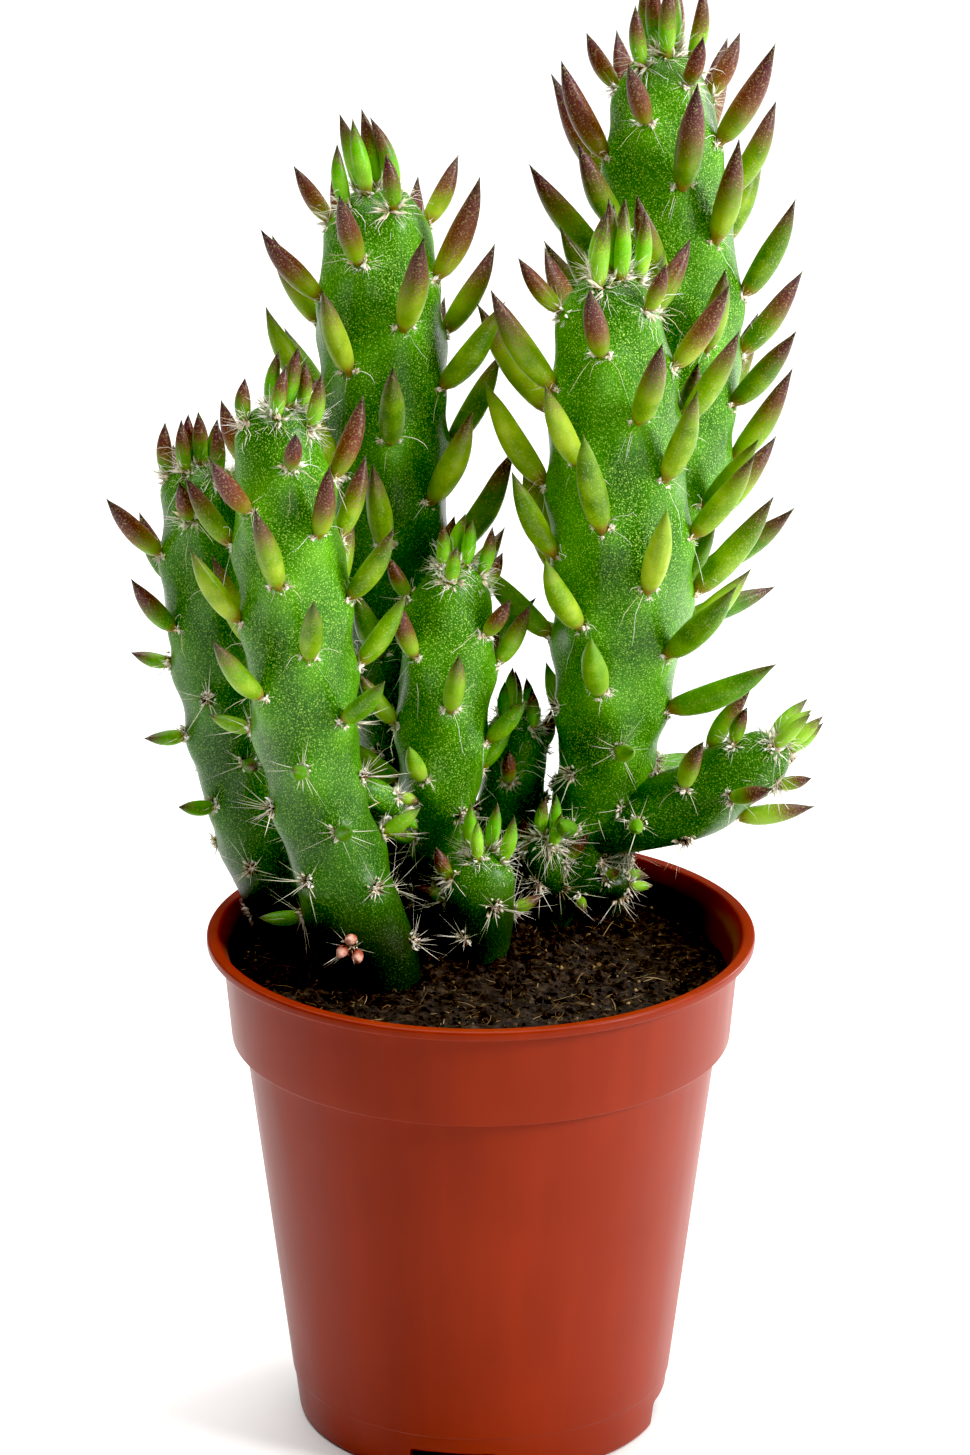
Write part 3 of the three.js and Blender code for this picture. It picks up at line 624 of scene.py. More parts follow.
def leaf_flesh():
    """Succulent leaf, grown: plump, satin, slightly see-through, olive to green, with a maroon flush."""
    material, add = new_material("leaf_flesh")
    place = add(COORDINATES, pick="Object")
    share, above, fresh, tint, ripe, young = (
        add(ATTRIBUTE, attribute_name=label, pick="Fac")
        for label in ("share", "above", "fresh", "tint", "ripe", "young"))
    patches = add(NOISE, place, 1 / 0.005, 3.0)
    grain = add(NOISE, place, 1 / 0.00035, 2.0)
    # Flesh: olive or green by the leaf, lighter in patches 5 mm wide and towards the root.
    tone = add(MATH, tint, 0.4, patches, **TIMES_PLUS)
    tone = add(MATH, share, -0.25, tone, **TIMES_PLUS)
    olive = add(RAMP, tone, stops=((0.2, "#4c7406"), (0.5, "#7a9e0e"), (0.85, "#b0c634")))
    green = add(RAMP, tone, stops=((0.2, "#33780a"), (0.5, "#559a10"), (0.85, "#8cc032")))
    bright = add(RAMP, tone, stops=((0.2, "#3f9208"), (0.5, "#6cbc14"), (0.85, "#a8e040")))
    flesh = add(MIX, young, add(MIX, fresh, olive, green, **COLOURS), bright, **COLOURS)
    # The flush begins at the share of the length given by ripe, sooner above, and is finely mottled.
    flush = share
    for part, weight in ((above, 0.08), (grain, 0.8), (patches, 0.3), (ripe, -1.0)):
        flush = add(MATH, part, weight, flush, **TIMES_PLUS)
    cover = add(RANGE, flush, 0.36, 0.78, 0.0, 0.95, **SMOOTH)
    red = add(RAMP, share, stops=((0.2, "#80421c"), (0.5, "#6a2626"), (0.8, "#541a30"), (0.98, "#280c1c")))
    flushed = add(MIX, cover, flesh, red, **COLOURS)
    # The root is pinched and brown, in a mottled band.
    mottled = add(MATH, patches, -0.16, share, **TIMES_PLUS)
    root = add(RANGE, mottled, 0.09, -0.07, 0.0, 0.8, **SMOOTH)
    rooted = add(MIX, root, flushed, colour("#84501a"), **COLOURS)
    # Pale pores 0.35 mm apart.
    dots = add(RANGE, grain, 0.52, 0.68, 0.0, 0.27, **SMOOTH)
    dotted = add(MIX, dots, rooted, colour("#dcd884"), **COLOURS)
    add(OUTPUT, add(
        PRINCIPLED, dotted, Roughness=0.4, Normal=add(BUMP, 0.35, 0.0001, Height=grain), IOR=1.4,
        Specular_IOR_Level=0.4, Sheen_Weight=0.04, Sheen_Roughness=0.3,
        Subsurface_Weight=0.08, Subsurface_Scale=0.001, Subsurface_Radius=(0.8, 1.0, 0.2)))
    return material


def spine_horn():
    """Spine, grown: hard horny needle, cream with a tan root."""
    return ramped_material(
        "spine_horn", "share", ((0.0, "#c8a070"), (0.12, "#ecdcb4"), (0.35, "#fdf6e0"), (1.0, "#f8eed8")),
        Roughness=0.45, IOR=1.54)


def areole_wool():
    """Areole wool, grown: matted fine hairs, cream at the ends and tan below, rough and slightly sheeny."""
    material, add = new_material("areole_wool")
    share, tint = (add(ATTRIBUTE, attribute_name=label, pick="Fac") for label in ("share", "tint"))
    pale = add(RAMP, tint, stops=((0.0, "#e6d2a8"), (0.25, "#f4ead2"), (0.7, "#fcf8ec"), (1.0, "#fffef8")))
    dark = add(RAMP, tint, stops=((0.0, "#9c7044"), (0.35, "#d6b884"), (1.0, "#f2e6c8")))
    tuft = add(MIX, add(RANGE, share, 0.0, 0.5), dark, pale, **COLOURS)
    add(OUTPUT, add(PRINCIPLED, tuft, Roughness=0.9, IOR=1.5, Sheen_Weight=0.3))
    return material


def bud_flesh():
    """Flower bud, grown: coral scales, satin, paler and pinker where they part at the tip."""
    material, add = new_material("bud_flesh")
    share = add(ATTRIBUTE, attribute_name="share", pick="Fac")
    patches = add(NOISE, add(COORDINATES, pick="Object"), 1 / 0.0009, 2.0)
    tone = add(MATH, patches, 0.6, share, **TIMES_PLUS)
    coral = add(RAMP, tone, stops=((0.35, "#6a2a1c"), (0.75, "#b05840"), (1.0, "#e4ac96")))
    add(OUTPUT, add(
        PRINCIPLED, coral, Roughness=0.45, Normal=add(BUMP, 0.8, 0.0005, Height=patches), IOR=1.4,
        Subsurface_Weight=0.1, Subsurface_Scale=0.0008))
    return material


def bristle_brown():
    """Areole bristles, grown: short dry glochids, dark brown, some tan."""
    return ramped_material(
        "bristle_brown", "tint", ((0.0, "#1d100a"), (0.55, "#4a2a18"), (0.85, "#8a5a34"), (1.0, "#c9a574")),
        Roughness=0.7, IOR=1.5)


def pot_polypropylene():
    """Polypropylene, injection moulded: satin terracotta red, faint upright flow streaks."""
    material, add = new_material("pot_polypropylene")
    place = add(COORDINATES, pick="Object")
    drawn = add("ShaderNodeMapping", place, Scale=(1.0, 1.0, 0.06))
    streaks = add(NOISE, drawn, 1 / 0.006, 3.0)
    clouds = add(NOISE, place, 1 / 0.03, 2.0)
    tone = add(MATH, clouds, 0.5, add(MATH, streaks, 0.5, 0.25, **TIMES_PLUS), **TIMES_PLUS)
    red = add(RAMP, tone, stops=((0.45, "#79220b"), (0.75, "#83270d"), (1.0, "#8c2b10")))
    # Dust of the compost clings to the inside above the soil, in patches 30 mm wide.
    dust = add(ATTRIBUTE, attribute_name="dust", pick="Fac")
    dust = add(MATH, add(MATH, dust, clouds, dust, **TIMES_PLUS), 0.68, use_clamp=True, **TIMES)
    dusted = add(MIX, dust, red, colour("#764a3e"), **COLOURS)
    # A grain 0.4 mm wide breaks the gloss.
    grain = add(NOISE, place, 1 / 0.0004, 2.0)
    add(OUTPUT, add(
        PRINCIPLED, dusted, Roughness=add(RANGE, streaks, 0.3, 0.7, 0.33, 0.42),
        Normal=add(BUMP, 0.12, 0.00003, Height=grain), IOR=1.49, Specular_IOR_Level=0.17))
    return material


def damp_peat():
    """Peat, sifted and watered: near-black brown, dull, with paler fibrous crumbs."""
    material, add = new_material("damp_peat")
    crumbs = add(NOISE, add(COORDINATES, pick="Object"), 1 / 0.0016, 5.0, 0.65)
    brown = add(
        RAMP, crumbs, stops=((0.35, "#100d0c"), (0.5, "#1f1814"), (0.62, "#382c22"), (0.75, "#5e4a32")))
    add(OUTPUT, add(
        PRINCIPLED, brown, Roughness=0.95, Normal=add(BUMP, 0.8, 0.0006, Height=crumbs), IOR=1.4,
        Specular_IOR_Level=0.3))
    return material


def peat_crumb():
    """Peat crumbs, loose: from near-black to tan."""
    return ramped_material(
        "peat_crumb", "tint",
        ((0.0, "#0f0c0b"), (0.6, "#211914"), (0.88, "#3e2f1e"), (0.96, "#6e5636"), (1.0, "#a88a58")),
        Roughness=0.9, IOR=1.4, Specular_IOR_Level=0.3)


def peat_fibre():
    """Moss and root fibres, dried in the peat: dull, brown to straw."""
    return ramped_material(
        "peat_fibre", "tint", ((0.0, "#241a13"), (0.5, "#4c3a25"), (0.85, "#86693f"), (1.0, "#c0a472")),
        Roughness=0.8, IOR=1.4, Specular_IOR_Level=0.3)


# Growth trees


def new_tree(name, **inputs):
    """An empty geometry tree with named inputs, the function that adds its nodes, and what it is given."""
    tree = bpy.data.node_groups.new(name, "GeometryNodeTree")
    kinds = {float: "NodeSocketFloat", int: "NodeSocketInt"}
    tree.interface.new_socket("Geometry", in_out="INPUT", socket_type="NodeSocketGeometry")
    for label, value in inputs.items():
        kind = kinds[type(value)]
        socket = tree.interface.new_socket(label.replace("_", " "), in_out="INPUT", socket_type=kind)
        socket.default_value = value
    tree.interface.new_socket("Material", in_out="INPUT", socket_type="NodeSocketMaterial")
    tree.interface.new_socket("Geometry", in_out="OUTPUT", socket_type="NodeSocketGeometry")
    add = partial(add_node, tree)
    return tree, add, add("NodeGroupInput").node.outputs


LENGTHS = ("Length", "Width", "Scatter", "Tip_Shift", "Sink", "Size")


def grown(name, start_mesh, tree, material, **inputs):
    """The plain mesh that a tree makes from a mesh. LENGTHS are in millimetres, a pair is least and most."""
    holder = new_object(name, start_mesh)
    modifier = holder.modifiers.new("grow", "NODES")
    modifier.node_group = tree
    modifier[tree.interface.items_tree["Material"].identifier] = material
    for key, value in inputs.items():
        ends = {" Least": value[0], " Most": value[1]} if isinstance(value, tuple) else {"": value}
        for end, part in ends.items():
            socket = tree.interface.items_tree[key.replace("_", " ") + end]
            if socket.socket_type == "NodeSocketFloat":
                part = float(part) * (MM if key in LENGTHS else 1)
            modifier[socket.identifier] = part
    shown = holder.evaluated_get(bpy.context.evaluated_depsgraph_get())
    mesh = bpy.data.meshes.new_from_object(shown)
    holder.modifiers.clear()
    holder.data = mesh
    mesh.name = name
    bpy.data.meshes.remove(start_mesh)
    return holder


def draw_out_tree(name, profile):
    """Draws a round taper out of every point, along its own bent line.

    A point carries along and lift, unit vectors, and length and width in metres. profile gives the share of
    the half width at shares of the length. Bend and Curl are shares of the length.
    """
    tree, add, given = new_tree(
        name, Sides=8, Rings=8, Sink=0.001, Bend=0.1, Depth=1.0, Flat_Top=0.0, Curl=0.0, Curl_Scale=100.0)
    rod = add("GeometryNodeMeshCylinder", given["Sides"], given["Rings"], Radius=1.0, Depth=1.0,
              fill_type="TRIANGLE_FAN")
    rod = add(STORE, rod, Name="unit", Value=add(POSITION), **VECTORS)
    roots = add(STORE, given["Geometry"], Name="root", Value=add(POSITION), **VECTORS)
    rods = add(REALIZE, add(INSTANCES, roots, Instance=rod))
    spot, root, along, lift = (add(READ, label, **VECTORS) for label in ("unit", "root", "along", "lift"))
    length, width = (add(READ, label) for label in ("length", "width"))
    x, y, z = add("ShaderNodeSeparateXYZ", spot).node.outputs
    sunk = add(MATH, given["Sink"], length, operation="DIVIDE")
    reach = add(MATH, add(MATH, z, 0.5, **PLUS), add(MATH, sunk, 1.0, **PLUS), **TIMES)
    share = add(MATH, reach, sunk, **MINUS)
    share_up = add(MATH, share, 0.0, operation="MAXIMUM")
    # The centre line: straight out, then bent towards lift, with a wander that grows to the tip.
    line = add(VECTOR, along, add(MATH, share, length, **TIMES), root, **TIMES_PLUS)
    bend = add(MATH, add(MATH, share_up, share_up, **TIMES), given["Bend"], **TIMES)
    bent = add(VECTOR, lift, add(MATH, bend, length, **TIMES), line, **TIMES_PLUS)
    apart = add(VECTOR, root, ROOTS_APART, line, **TIMES_PLUS)
    wander = add(NOISE, apart, given["Curl Scale"], 0.0, pick="Color")
    sway = add(MATH, add(MATH, share_up, length, **TIMES), given["Curl"], **TIMES)
    centre = add(VECTOR, add(VECTOR, wander, NOISE_MIDDLE, **MINUS), sway, bent, **TIMES_PLUS)
    # The section: round, shallower by Depth, and flatter on the lift side by Flat Top.
    girth = add("ShaderNodeFloatCurve", Value=share_up)
    mapping = girth.node.mapping
    for _ in profile[2:]:
        mapping.curves[0].points.new(0.5, 0.5)
    for point, place in zip(mapping.curves[0].points, profile):
        point.location = place
    mapping.update()
    radius = add(MATH, girth, add(MATH, width, 0.5, **TIMES), **TIMES)
    across = add(VECTOR, add(VECTOR, lift, along, operation="CROSS_PRODUCT"), operation="NORMALIZE")
    flat = add(MATH, add(MATH, y, 0.0, operation="MAXIMUM"), given["Flat Top"], **TIMES)
    high = add(MATH, add(MATH, y, flat, **MINUS), given["Depth"], **TIMES)
    over = add(VECTOR, lift, add(MATH, high, radius, **TIMES), **TIMES)
    shell = add(VECTOR, across, add(MATH, x, radius, **TIMES), over, **TIMES_PLUS)
    for label, value in (("share", share), ("above", y)):
        rods = add(STORE, rods, Name=label, Value=value)
    moved = add(SET_POSITION, rods, Position=add(VECTOR, centre, shell, **PLUS))
    rounded = add("GeometryNodeSetShadeSmooth", moved)
    add(GROUP_OUTPUT, add(SET_MATERIAL, rounded, Material=given["Material"]))
    return tree


def fan_tree(name, drawn):
    """Grows a fan of bristles on every point, each drawn out by the tree given.

    A point carries out and axis, unit vectors, and vigour, which scales its fan. Angles are in degrees from
    the way out, lengths in metres. Hang turns the bend downward instead of towards the shoot's tip.
    """
    tree, add, given = new_tree(
        name, Count=8, Seed=1, Open_Least=20.0, Open_Most=80.0, Length_Least=0.002, Length_Most=0.005,
        Width=0.0002, Scatter_Least=0.0, Scatter_Most=0.0008, Tip_Shift=0.0, Hang=0.0, Sides=3, Rings=3,
        Bend=0.0, Curl=0.0, Curl_Scale=100.0)
    points = add("GeometryNodeDuplicateElements", given["Geometry"], Amount=given["Count"], domain="POINT")
    index = add("GeometryNodeInputIndex")
    rolls = []
    for least, most in ((0.0, math.tau), (given["Open Least"], given["Open Most"]),
                        (given["Scatter Least"], given["Scatter Most"]),
                        (given["Length Least"], given["Length Most"]), WIDTH_SPREAD, (0.0, 1.0)):
        seed = add(MATH, given["Seed"], 10.0 * len(rolls), **PLUS)
        rolls.append(add(RANDOM, least, most, index, seed))
    swing, opening, away, length, width, tint = rolls
    out, axis = (add(READ, label, **VECTORS) for label in ("out", "axis"))
    vigour = add(READ, "vigour")
    # A direction: swung round the way out, and opened from it.
    side = add(VECTOR, axis, out, operation="CROSS_PRODUCT")
    on_side = add(VECTOR, side, add(MATH, swing, operation="SINE"), **TIMES)
    round_out = add(VECTOR, axis, add(MATH, swing, operation="COSINE"), on_side, **TIMES_PLUS)
    opening = add(MATH, opening, operation="RADIANS")
    outward = add(VECTOR, out, add(MATH, opening, operation="COSINE"), **TIMES)
    along = add(VECTOR, round_out, add(MATH, opening, operation="SINE"), outward, **TIMES_PLUS)
    tipped = add(VECTOR, axis, OFF_AXIS, **PLUS)
    lift = add(MIX, given["Hang"], tipped, DOWN, data_type="VECTOR")
    # Its root: scattered round the middle of the areole, which may sit towards the tip.
    tipward = add(VECTOR, axis, given["Tip Shift"], **TIMES)
    offset = add(VECTOR, round_out, add(MATH, away, vigour, **TIMES), tipward, **TIMES_PLUS)
    points = add(SET_POSITION, points, Offset=offset)
    length = add(MATH, length, vigour, **TIMES)
    width = add(MATH, width, given["Width"], **TIMES)
    for label, value, kind in (("along", along, VECTORS), ("lift", lift, VECTORS), ("length", length, {}),
                               ("width", width, {}), ("tint", tint, {})):
        points = add(STORE, points, Name=label, Value=value, **kind)
    passed = {label: given[label] for label in ("Sides", "Rings", "Bend", "Curl", "Curl Scale", "Material")}
    add(GROUP_OUTPUT, add(GROUP, points, node_tree=drawn, Sink=FAN_SINK, **passed))
    return tree


def lying_tree(name, fan, part):
    """Strews the named part of a surface with points, and lets the fan given grow there, lying down."""
    tree, add, given = new_tree(
        name, Density=30000.0, Strew_Seed=1, Seed=1, Length_Least=0.002, Length_Most=0.006, Width=0.00018,
        Sides=3, Rings=5, Curl=0.5, Curl_Scale=220.0)
    points = add(
        STREW, given["Geometry"], add(READ, part), Density=given["Density"], Seed=given["Strew Seed"])
    for label, value, kind in (("out", (0.0, 0.0, 1.0), VECTORS), ("axis", (1.0, 0.0, 0.0), VECTORS),
                               ("vigour", 1.0, {})):
        points = add(STORE, points, Name=label, Value=value, **kind)
    passed = {label: socket for label, socket in given.items()
              if socket.name and label not in ("Geometry", "Density", "Strew Seed")}
    add(GROUP_OUTPUT, add(
        GROUP, points, node_tree=fan, Count=1, Open_Least=62.0, Open_Most=96.0, Scatter_Most=0.0, **passed))
    return tree


def crumb_tree(name, part):
    """Strews the named part of a surface with rough crumbs, half sunk in it, few of them large."""
    tree, add, given = new_tree(
        name, Density=100000.0, Seed=1, Size_Least=0.0003, Size_Most=0.001, Fineness=2, Roughness=0.5)
    points = add(STREW, given["Geometry"], add(READ, part), Density=given["Density"], Seed=given["Seed"])
    tint, largeness = (add(RANDOM, 0.0, 1.0, Seed=k) for k in range(2))
    points = add(STORE, points, Name="tint", Value=tint)
    few_large = add(MATH, largeness, 3.0, operation="POWER")
    size = add(RANGE, few_large, 0.0, 1.0, given["Size Least"], given["Size Most"])
    squash = add(RANDOM, (0.6, 0.6, 0.4), (1.2, 1.0, 0.8), Seed=7, **VECTORS)
    crumbs = add(REALIZE, add(
        INSTANCES, points, Instance=add("GeometryNodeMeshIcoSphere", 1.0, given["Fineness"]),
        Rotation=add(RANDOM, (0.0, 0.0, 0.0), (math.tau,) * 3, Seed=5, **VECTORS),
        Scale=add(VECTOR, squash, size, **TIMES)))
    field = add(NOISE, add(POSITION), 1 / 0.0008, 1.0, pick="Color")
    push_size = add(MATH, given["Roughness"], given["Size Most"], **TIMES)
    push = add(VECTOR, add(VECTOR, field, NOISE_MIDDLE, **MINUS), push_size, **TIMES)
    rough = add(SET_POSITION, crumbs, Offset=push)
    add(GROUP_OUTPUT, add(SET_MATERIAL, rough, Material=given["Material"]))
    return tree


# Pieces


def new_object(name, data):
    made = bpy.data.objects.new(name, data)
    bpy.context.scene.collection.objects.link(made)
    return made


def kept_piece(piece):
    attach(piece, "root")
    return piece


def new_piece(name, mesh, material):
    mesh.materials.append(material)
    return kept_piece(new_object(name, mesh))


def joined(name, parts):
    """Several objects as one, which keeps the materials and attributes of all."""
    first = parts[0]
    with bpy.context.temp_override(active_object=first, selected_editable_objects=parts):
        bpy.ops.object.join()
    first.name = first.data.name = name
    return first


def mesh_of(name, vertices, faces=()):
    mesh = bpy.data.meshes.new(name)
    mesh.from_pydata([tuple(v) for v in vertices], [], faces)
    mesh.polygons.foreach_set("use_smooth", [True] * len(faces))
    mesh.update()
    return mesh


def keep(mesh, **attributes):
    """The mesh with each array kept on its vertices, as numbers or as vectors."""
    for label, values in attributes.items():
        values = np.asarray(values, np.float32)
        kind, field = ("FLOAT_VECTOR", "vector") if values.ndim == 2 else ("FLOAT", "value")
        mesh.attributes.new(label, kind, "POINT").data.foreach_set(field, values.ravel())
    return mesh


def strands_mesh(name, strands, **attributes):
    """Loose points where leaves, spines or buds stand, with what draws each one out."""
    root, along, lift, length, width = (
        np.array([strand[label] for strand in strands])
        for label in ("root", "along", "lift", "length", "width"))
    return keep(mesh_of(name, placed(root)), along=along, lift=lift, length=length * MM, width=width * MM,
                **attributes)


def tube_faces(rings, sides, offset=0):
    """Faces of a closed tube: a pole, rings of vertices one after another, and a pole."""
    first, last = offset, offset + 1 + rings * sides
    faces = []
    for j in range(sides):
        k = (j + 1) % sides
        faces.append((first, first + 1 + j, first + 1 + k))
        faces.append((last, last - sides + k, last - sides + j))
        for i in range(rings - 1):
            a = first + 1 + i * sides
            faces.append((a + j, a + sides + j, a + sides + k, a + k))
    return faces


def skin_piece(stem, shoots, material):
    """The skin of a stem with its branches: swollen below every areole, and a little wavy."""
    vertices, faces, swell, age, foot = [], [], [], [], []
    for shoot in shoots:
        crown = CROWN_ROUND * (1 - np.cos(np.linspace(0, math.pi / 2, 9)))
        steps = round((shoot.length - FOOT_ROUND - CROWN_ROUND) / RING_SPACING)
        trunk = np.linspace(CROWN_ROUND, shoot.length - FOOT_ROUND, steps + 1)[1:]
        drops = [*crown[1:], *trunk, *(shoot.length - FOOT_ROUND * np.array([0.6, 0.25, 0.05]))]
        sides = max(LEAST_SIDES, round(math.tau * max(row[3] for row in shoot.rows) / SIDE_SPACING))
        turns = np.linspace(0, math.tau, sides, endpoint=False)
        drop, turn = (grid.ravel() for grid in np.meshgrid(drops, turns, indexing="ij"))
        point, _, out, swelling = shoot.surface(drop, turn)
        waves = [noise.noise(Vector(p) / WAVE_LENGTH + Vector((shoot.seed, 0, 0))) for p in point]
        point = point + out * (WAVE_HEIGHT * np.array(waves) * shoot.bump_share(drop))[:, None]
        crown_point, foot_point = shoot.at([0, shoot.length])[0]
        faces += tube_faces(len(drops), sides, len(vertices))
        vertices += [crown_point, *point, foot_point]
        # The height of the swellings is kept for the painted shade of the hollows between them.
        swell += [0, *((swelling + HOLLOW) / BUMP_MOST), 0]
        # The skin darkens as old skin and as painted shade behind other stems, and near the crown as painted
        # shade.
        near_crown = CROWN_SHADE * (1 - smooth(drop, *CROWN_SHADE_DROPS))
        age += [0.5, *np.maximum(smooth(drop / shoot.length, *shoot.aged), near_crown), 1]
        # Near the soil the skin is darkened, as splashed soil and as painted shade.
        foot += [0, *(1 - smooth(point[:, 2], *SPLASH_AND_SHADE_Z)), 1]
    mesh = keep(mesh_of(stem + "_skin", placed(vertices), faces), swell=swell, age=age, foot=foot)
    piece = new_piece(stem + "_skin", mesh, material)
    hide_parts(stem)


def youth(leaf):
    """1 for the youngest leaves in the middle of the crown, and 0 for the grown ones."""
    return float(1 - smooth(leaf["drop"], *YOUNGEST_DROPS))


def freshness(leaf, shoot):
    """How green a leaf is: the youngest and the lowest ones, and those of the short shoots."""
    youngest = 1 - smooth(leaf["drop"], 1.5, 6)
    usual = SHORT_SHOOT_FRESH if shoot.leaf < SHORT_SHOOT_LEAF else USUAL_FRESH
    return float(max(YOUNGEST_FRESH * youngest, LOW_FRESH * leaf["low"], usual))


def flush_start(leaf, shoot, k):
    """The share of a leaf's length where its maroon flush begins."""
    near_crown = smooth(leaf["drop"], -4, 6) * (1 - smooth(leaf["drop"], 14, 40))
    spread = FLUSH_SPREAD * (shoot.roll("flush", k) - 0.5)
    later = LOW_FLUSH_LATER * leaf["low"]
    return float(FLUSH_START - FLUSH_SOONER * near_crown + later - shoot.blush + spread)


def leaves_piece(name, shoots, tree, material):
    """The leaves of a stem, each on its areole."""
    leaves = [(leaf, shoot) for shoot in shoots for leaf in shoot.leaves]
    widths = [leaf["width"] * (1 - YOUNGEST_SLIMMER * youth(leaf)) for leaf, _ in leaves]
    mesh = strands_mesh(
        name, [leaf | dict(width=width) for (leaf, _), width in zip(leaves, widths)],
        tint=[shoot.roll("tint", k) - 2 * shoot.blush for k, (_, shoot) in enumerate(leaves)],
        fresh=[freshness(leaf, shoot) for leaf, shoot in leaves],
        ripe=[flush_start(leaf, shoot, k) for k, (leaf, shoot) in enumerate(leaves)],
        young=[shoot.glow * youth(leaf) for leaf, shoot in leaves],
    )
    kept_piece(grown(name, mesh, tree, material, Sides=14, Rings=14, Sink=LEAF_SINK, Bend=LEAF_CURVE,
                     Depth=LEAF_DEPTH, Flat_Top=0.2, Curl=0.06, Curl_Scale=90))


def room_inside(shoot, drop, turn):
    """The share of the longest spine that fits between a low areole and the pot's wall, and 1 above it."""
    x, y, z = shoot.stand(drop, turn)[0]
    if z > POT_HEIGHT + SPINE_CLEARANCE:
        return 1.0
    return max(LEAST_REACH, (COLLAR_FOOT_RADIUS - WALL - math.hypot(x, y)) / LONGEST_SPINE)


def is_bare(shoot, n, drop):
    return drop >= shoot.leafy and (shoot.leaf >= SMALL_LEAF or n % 2 == 0)


# How strongly every kind of fan grows on an areole, by its shoot, number, drop and turn: 0 is not at all.
VIGOUR = dict(
    bare=lambda shoot, n, drop, turn: is_bare(shoot, n, drop) and min(0.7 + 0.6 * shoot.roll("bare", n),
                                                                      room_inside(shoot, drop, turn)),
    leafy=lambda shoot, n, drop, _: (0 <= n and drop < shoot.leafy) * (0.5 + 0.6 * shoot.roll("leafy", n)),
    crown=lambda shoot, n, *_: (n < 1) * (0.3 + shoot.leaf / 30),
    pad=lambda shoot, n, drop, _: is_bare(shoot, n, drop) * (0.85 + 0.3 * shoot.roll("pad", n)),
    hair=lambda shoot, n, drop, _: (drop < shoot.leafy) * min(1, shoot.leaf / WOOLLY_LEAF) * (
        0.7 + 0.7 * shoot.roll("hair", n)),
    crown_hair=lambda shoot, n, drop, _: (drop < CROWN_WOOL_DROP and shoot.leaf > SMALL_LEAF) * (
        0.4 + shoot.leaf / 30),
)


def areole_stands(shoots, wanted):
    """Place, way out, axis and vigour of every areole that grows the kind of fan wanted."""
    for shoot in shoots:
        for n, drop, turn in shoot.areoles:
            vigour = VIGOUR[wanted](shoot, n, drop, turn)
            if vigour:
                point, axis, out = shoot.stand(drop, turn)
                yield point, out, axis, vigour


def tuft_stands(shoots):
    """The same for tufts of wool at both sides of every leaf's root and below it, fuller on young leaves."""
    found = []
    for shoot in shoots:
        for leaf in shoot.leaves:
            across = np.cross(leaf["along"], leaf["lift"])
            young = 1 - float(smooth(leaf["drop"], 2, 26))
            youngest = 1 - float(smooth(leaf["drop"], 3, 15))
            fullness = min(1, shoot.leaf / WOOLLY_LEAF) * (0.75 + 0.75 * young + 1.2 * youngest)
            for way, share in ((across, 1.0), (-across, 1.0), (-leaf["axis"], LOWER_TUFT)):
                share *= 0.6 + 0.8 * shoot.roll("tuft", len(found))
                out = unit(leaf["out"] + TUFT_LEAN * way)
                place = leaf["root"] + TUFT_ASIDE * leaf["width"] * way - TUFT_BELOW * leaf["axis"]
                axis = unit(leaf["axis"] - out * out.dot(leaf["axis"]) + 1e-6)
                found.append((place, out, axis, share * fullness))
    return found


def grow_fans(name, shoots, wanted, tree, material, **inputs):
    """The fans of one kind on all shoots of a stem."""
    stands = tuft_stands(shoots) if wanted == "tuft" else areole_stands(shoots, wanted)
    places, outs, axes, vigours = zip(*stands)
    mesh = keep(mesh_of(name, placed(places)), out=outs, axis=axes, vigour=vigours)
    return grown(name, mesh, tree, material, **inputs)


def spines_piece(name, shoots, fan, drawn, horn, brown):
    """The spines of a stem: thick ones as in the solids, thin ones round them, and brown bristles."""
    thick = [spine | dict(lift=unit(spine["along"] + (0.1, 0.2, 0.9)), width=THICK_SPINE_WIDTH)
             for shoot in shoots for spine in shoot.spines]
    mesh = strands_mesh(name, thick, tint=[0.5] * len(thick))
    grow = partial(grow_fans, name, shoots)
    kept_piece(joined(name, [
        grown(name, mesh, drawn, horn, Sides=5, Rings=4, Sink=0.8, Bend=0.04),
        grow("bare", fan, horn, Count=12, Seed=3, Open=(20, 88), Length=(3, LONGEST_SPINE), Width=0.185,
             Scatter=(0, 0.7), Rings=2, Bend=0.05, Curl=0.08, Curl_Scale=120),
        grow("leafy", fan, horn, Count=2, Seed=5, Open=(35, 95), Length=(2, 5.5), Width=0.16,
             Scatter=(0, 1.2), Tip_Shift=0.5, Rings=3, Bend=0.05, Curl=0.15, Curl_Scale=150),
        grow("bare", fan, brown, Count=22, Seed=7, Open=(5, 55), Length=(1.2, 2.1), Width=0.34,
             Scatter=(0, 1.2), Rings=1, Bend=0.1, Curl=0.2, Curl_Scale=400),
        grow("crown", fan, horn, Count=2, Seed=9, Open=(40, 80), Length=(3, 7), Width=0.15,
             Scatter=(0, 1.2), Rings=3, Bend=0.05, Curl=0.1, Curl_Scale=150),
    ]))


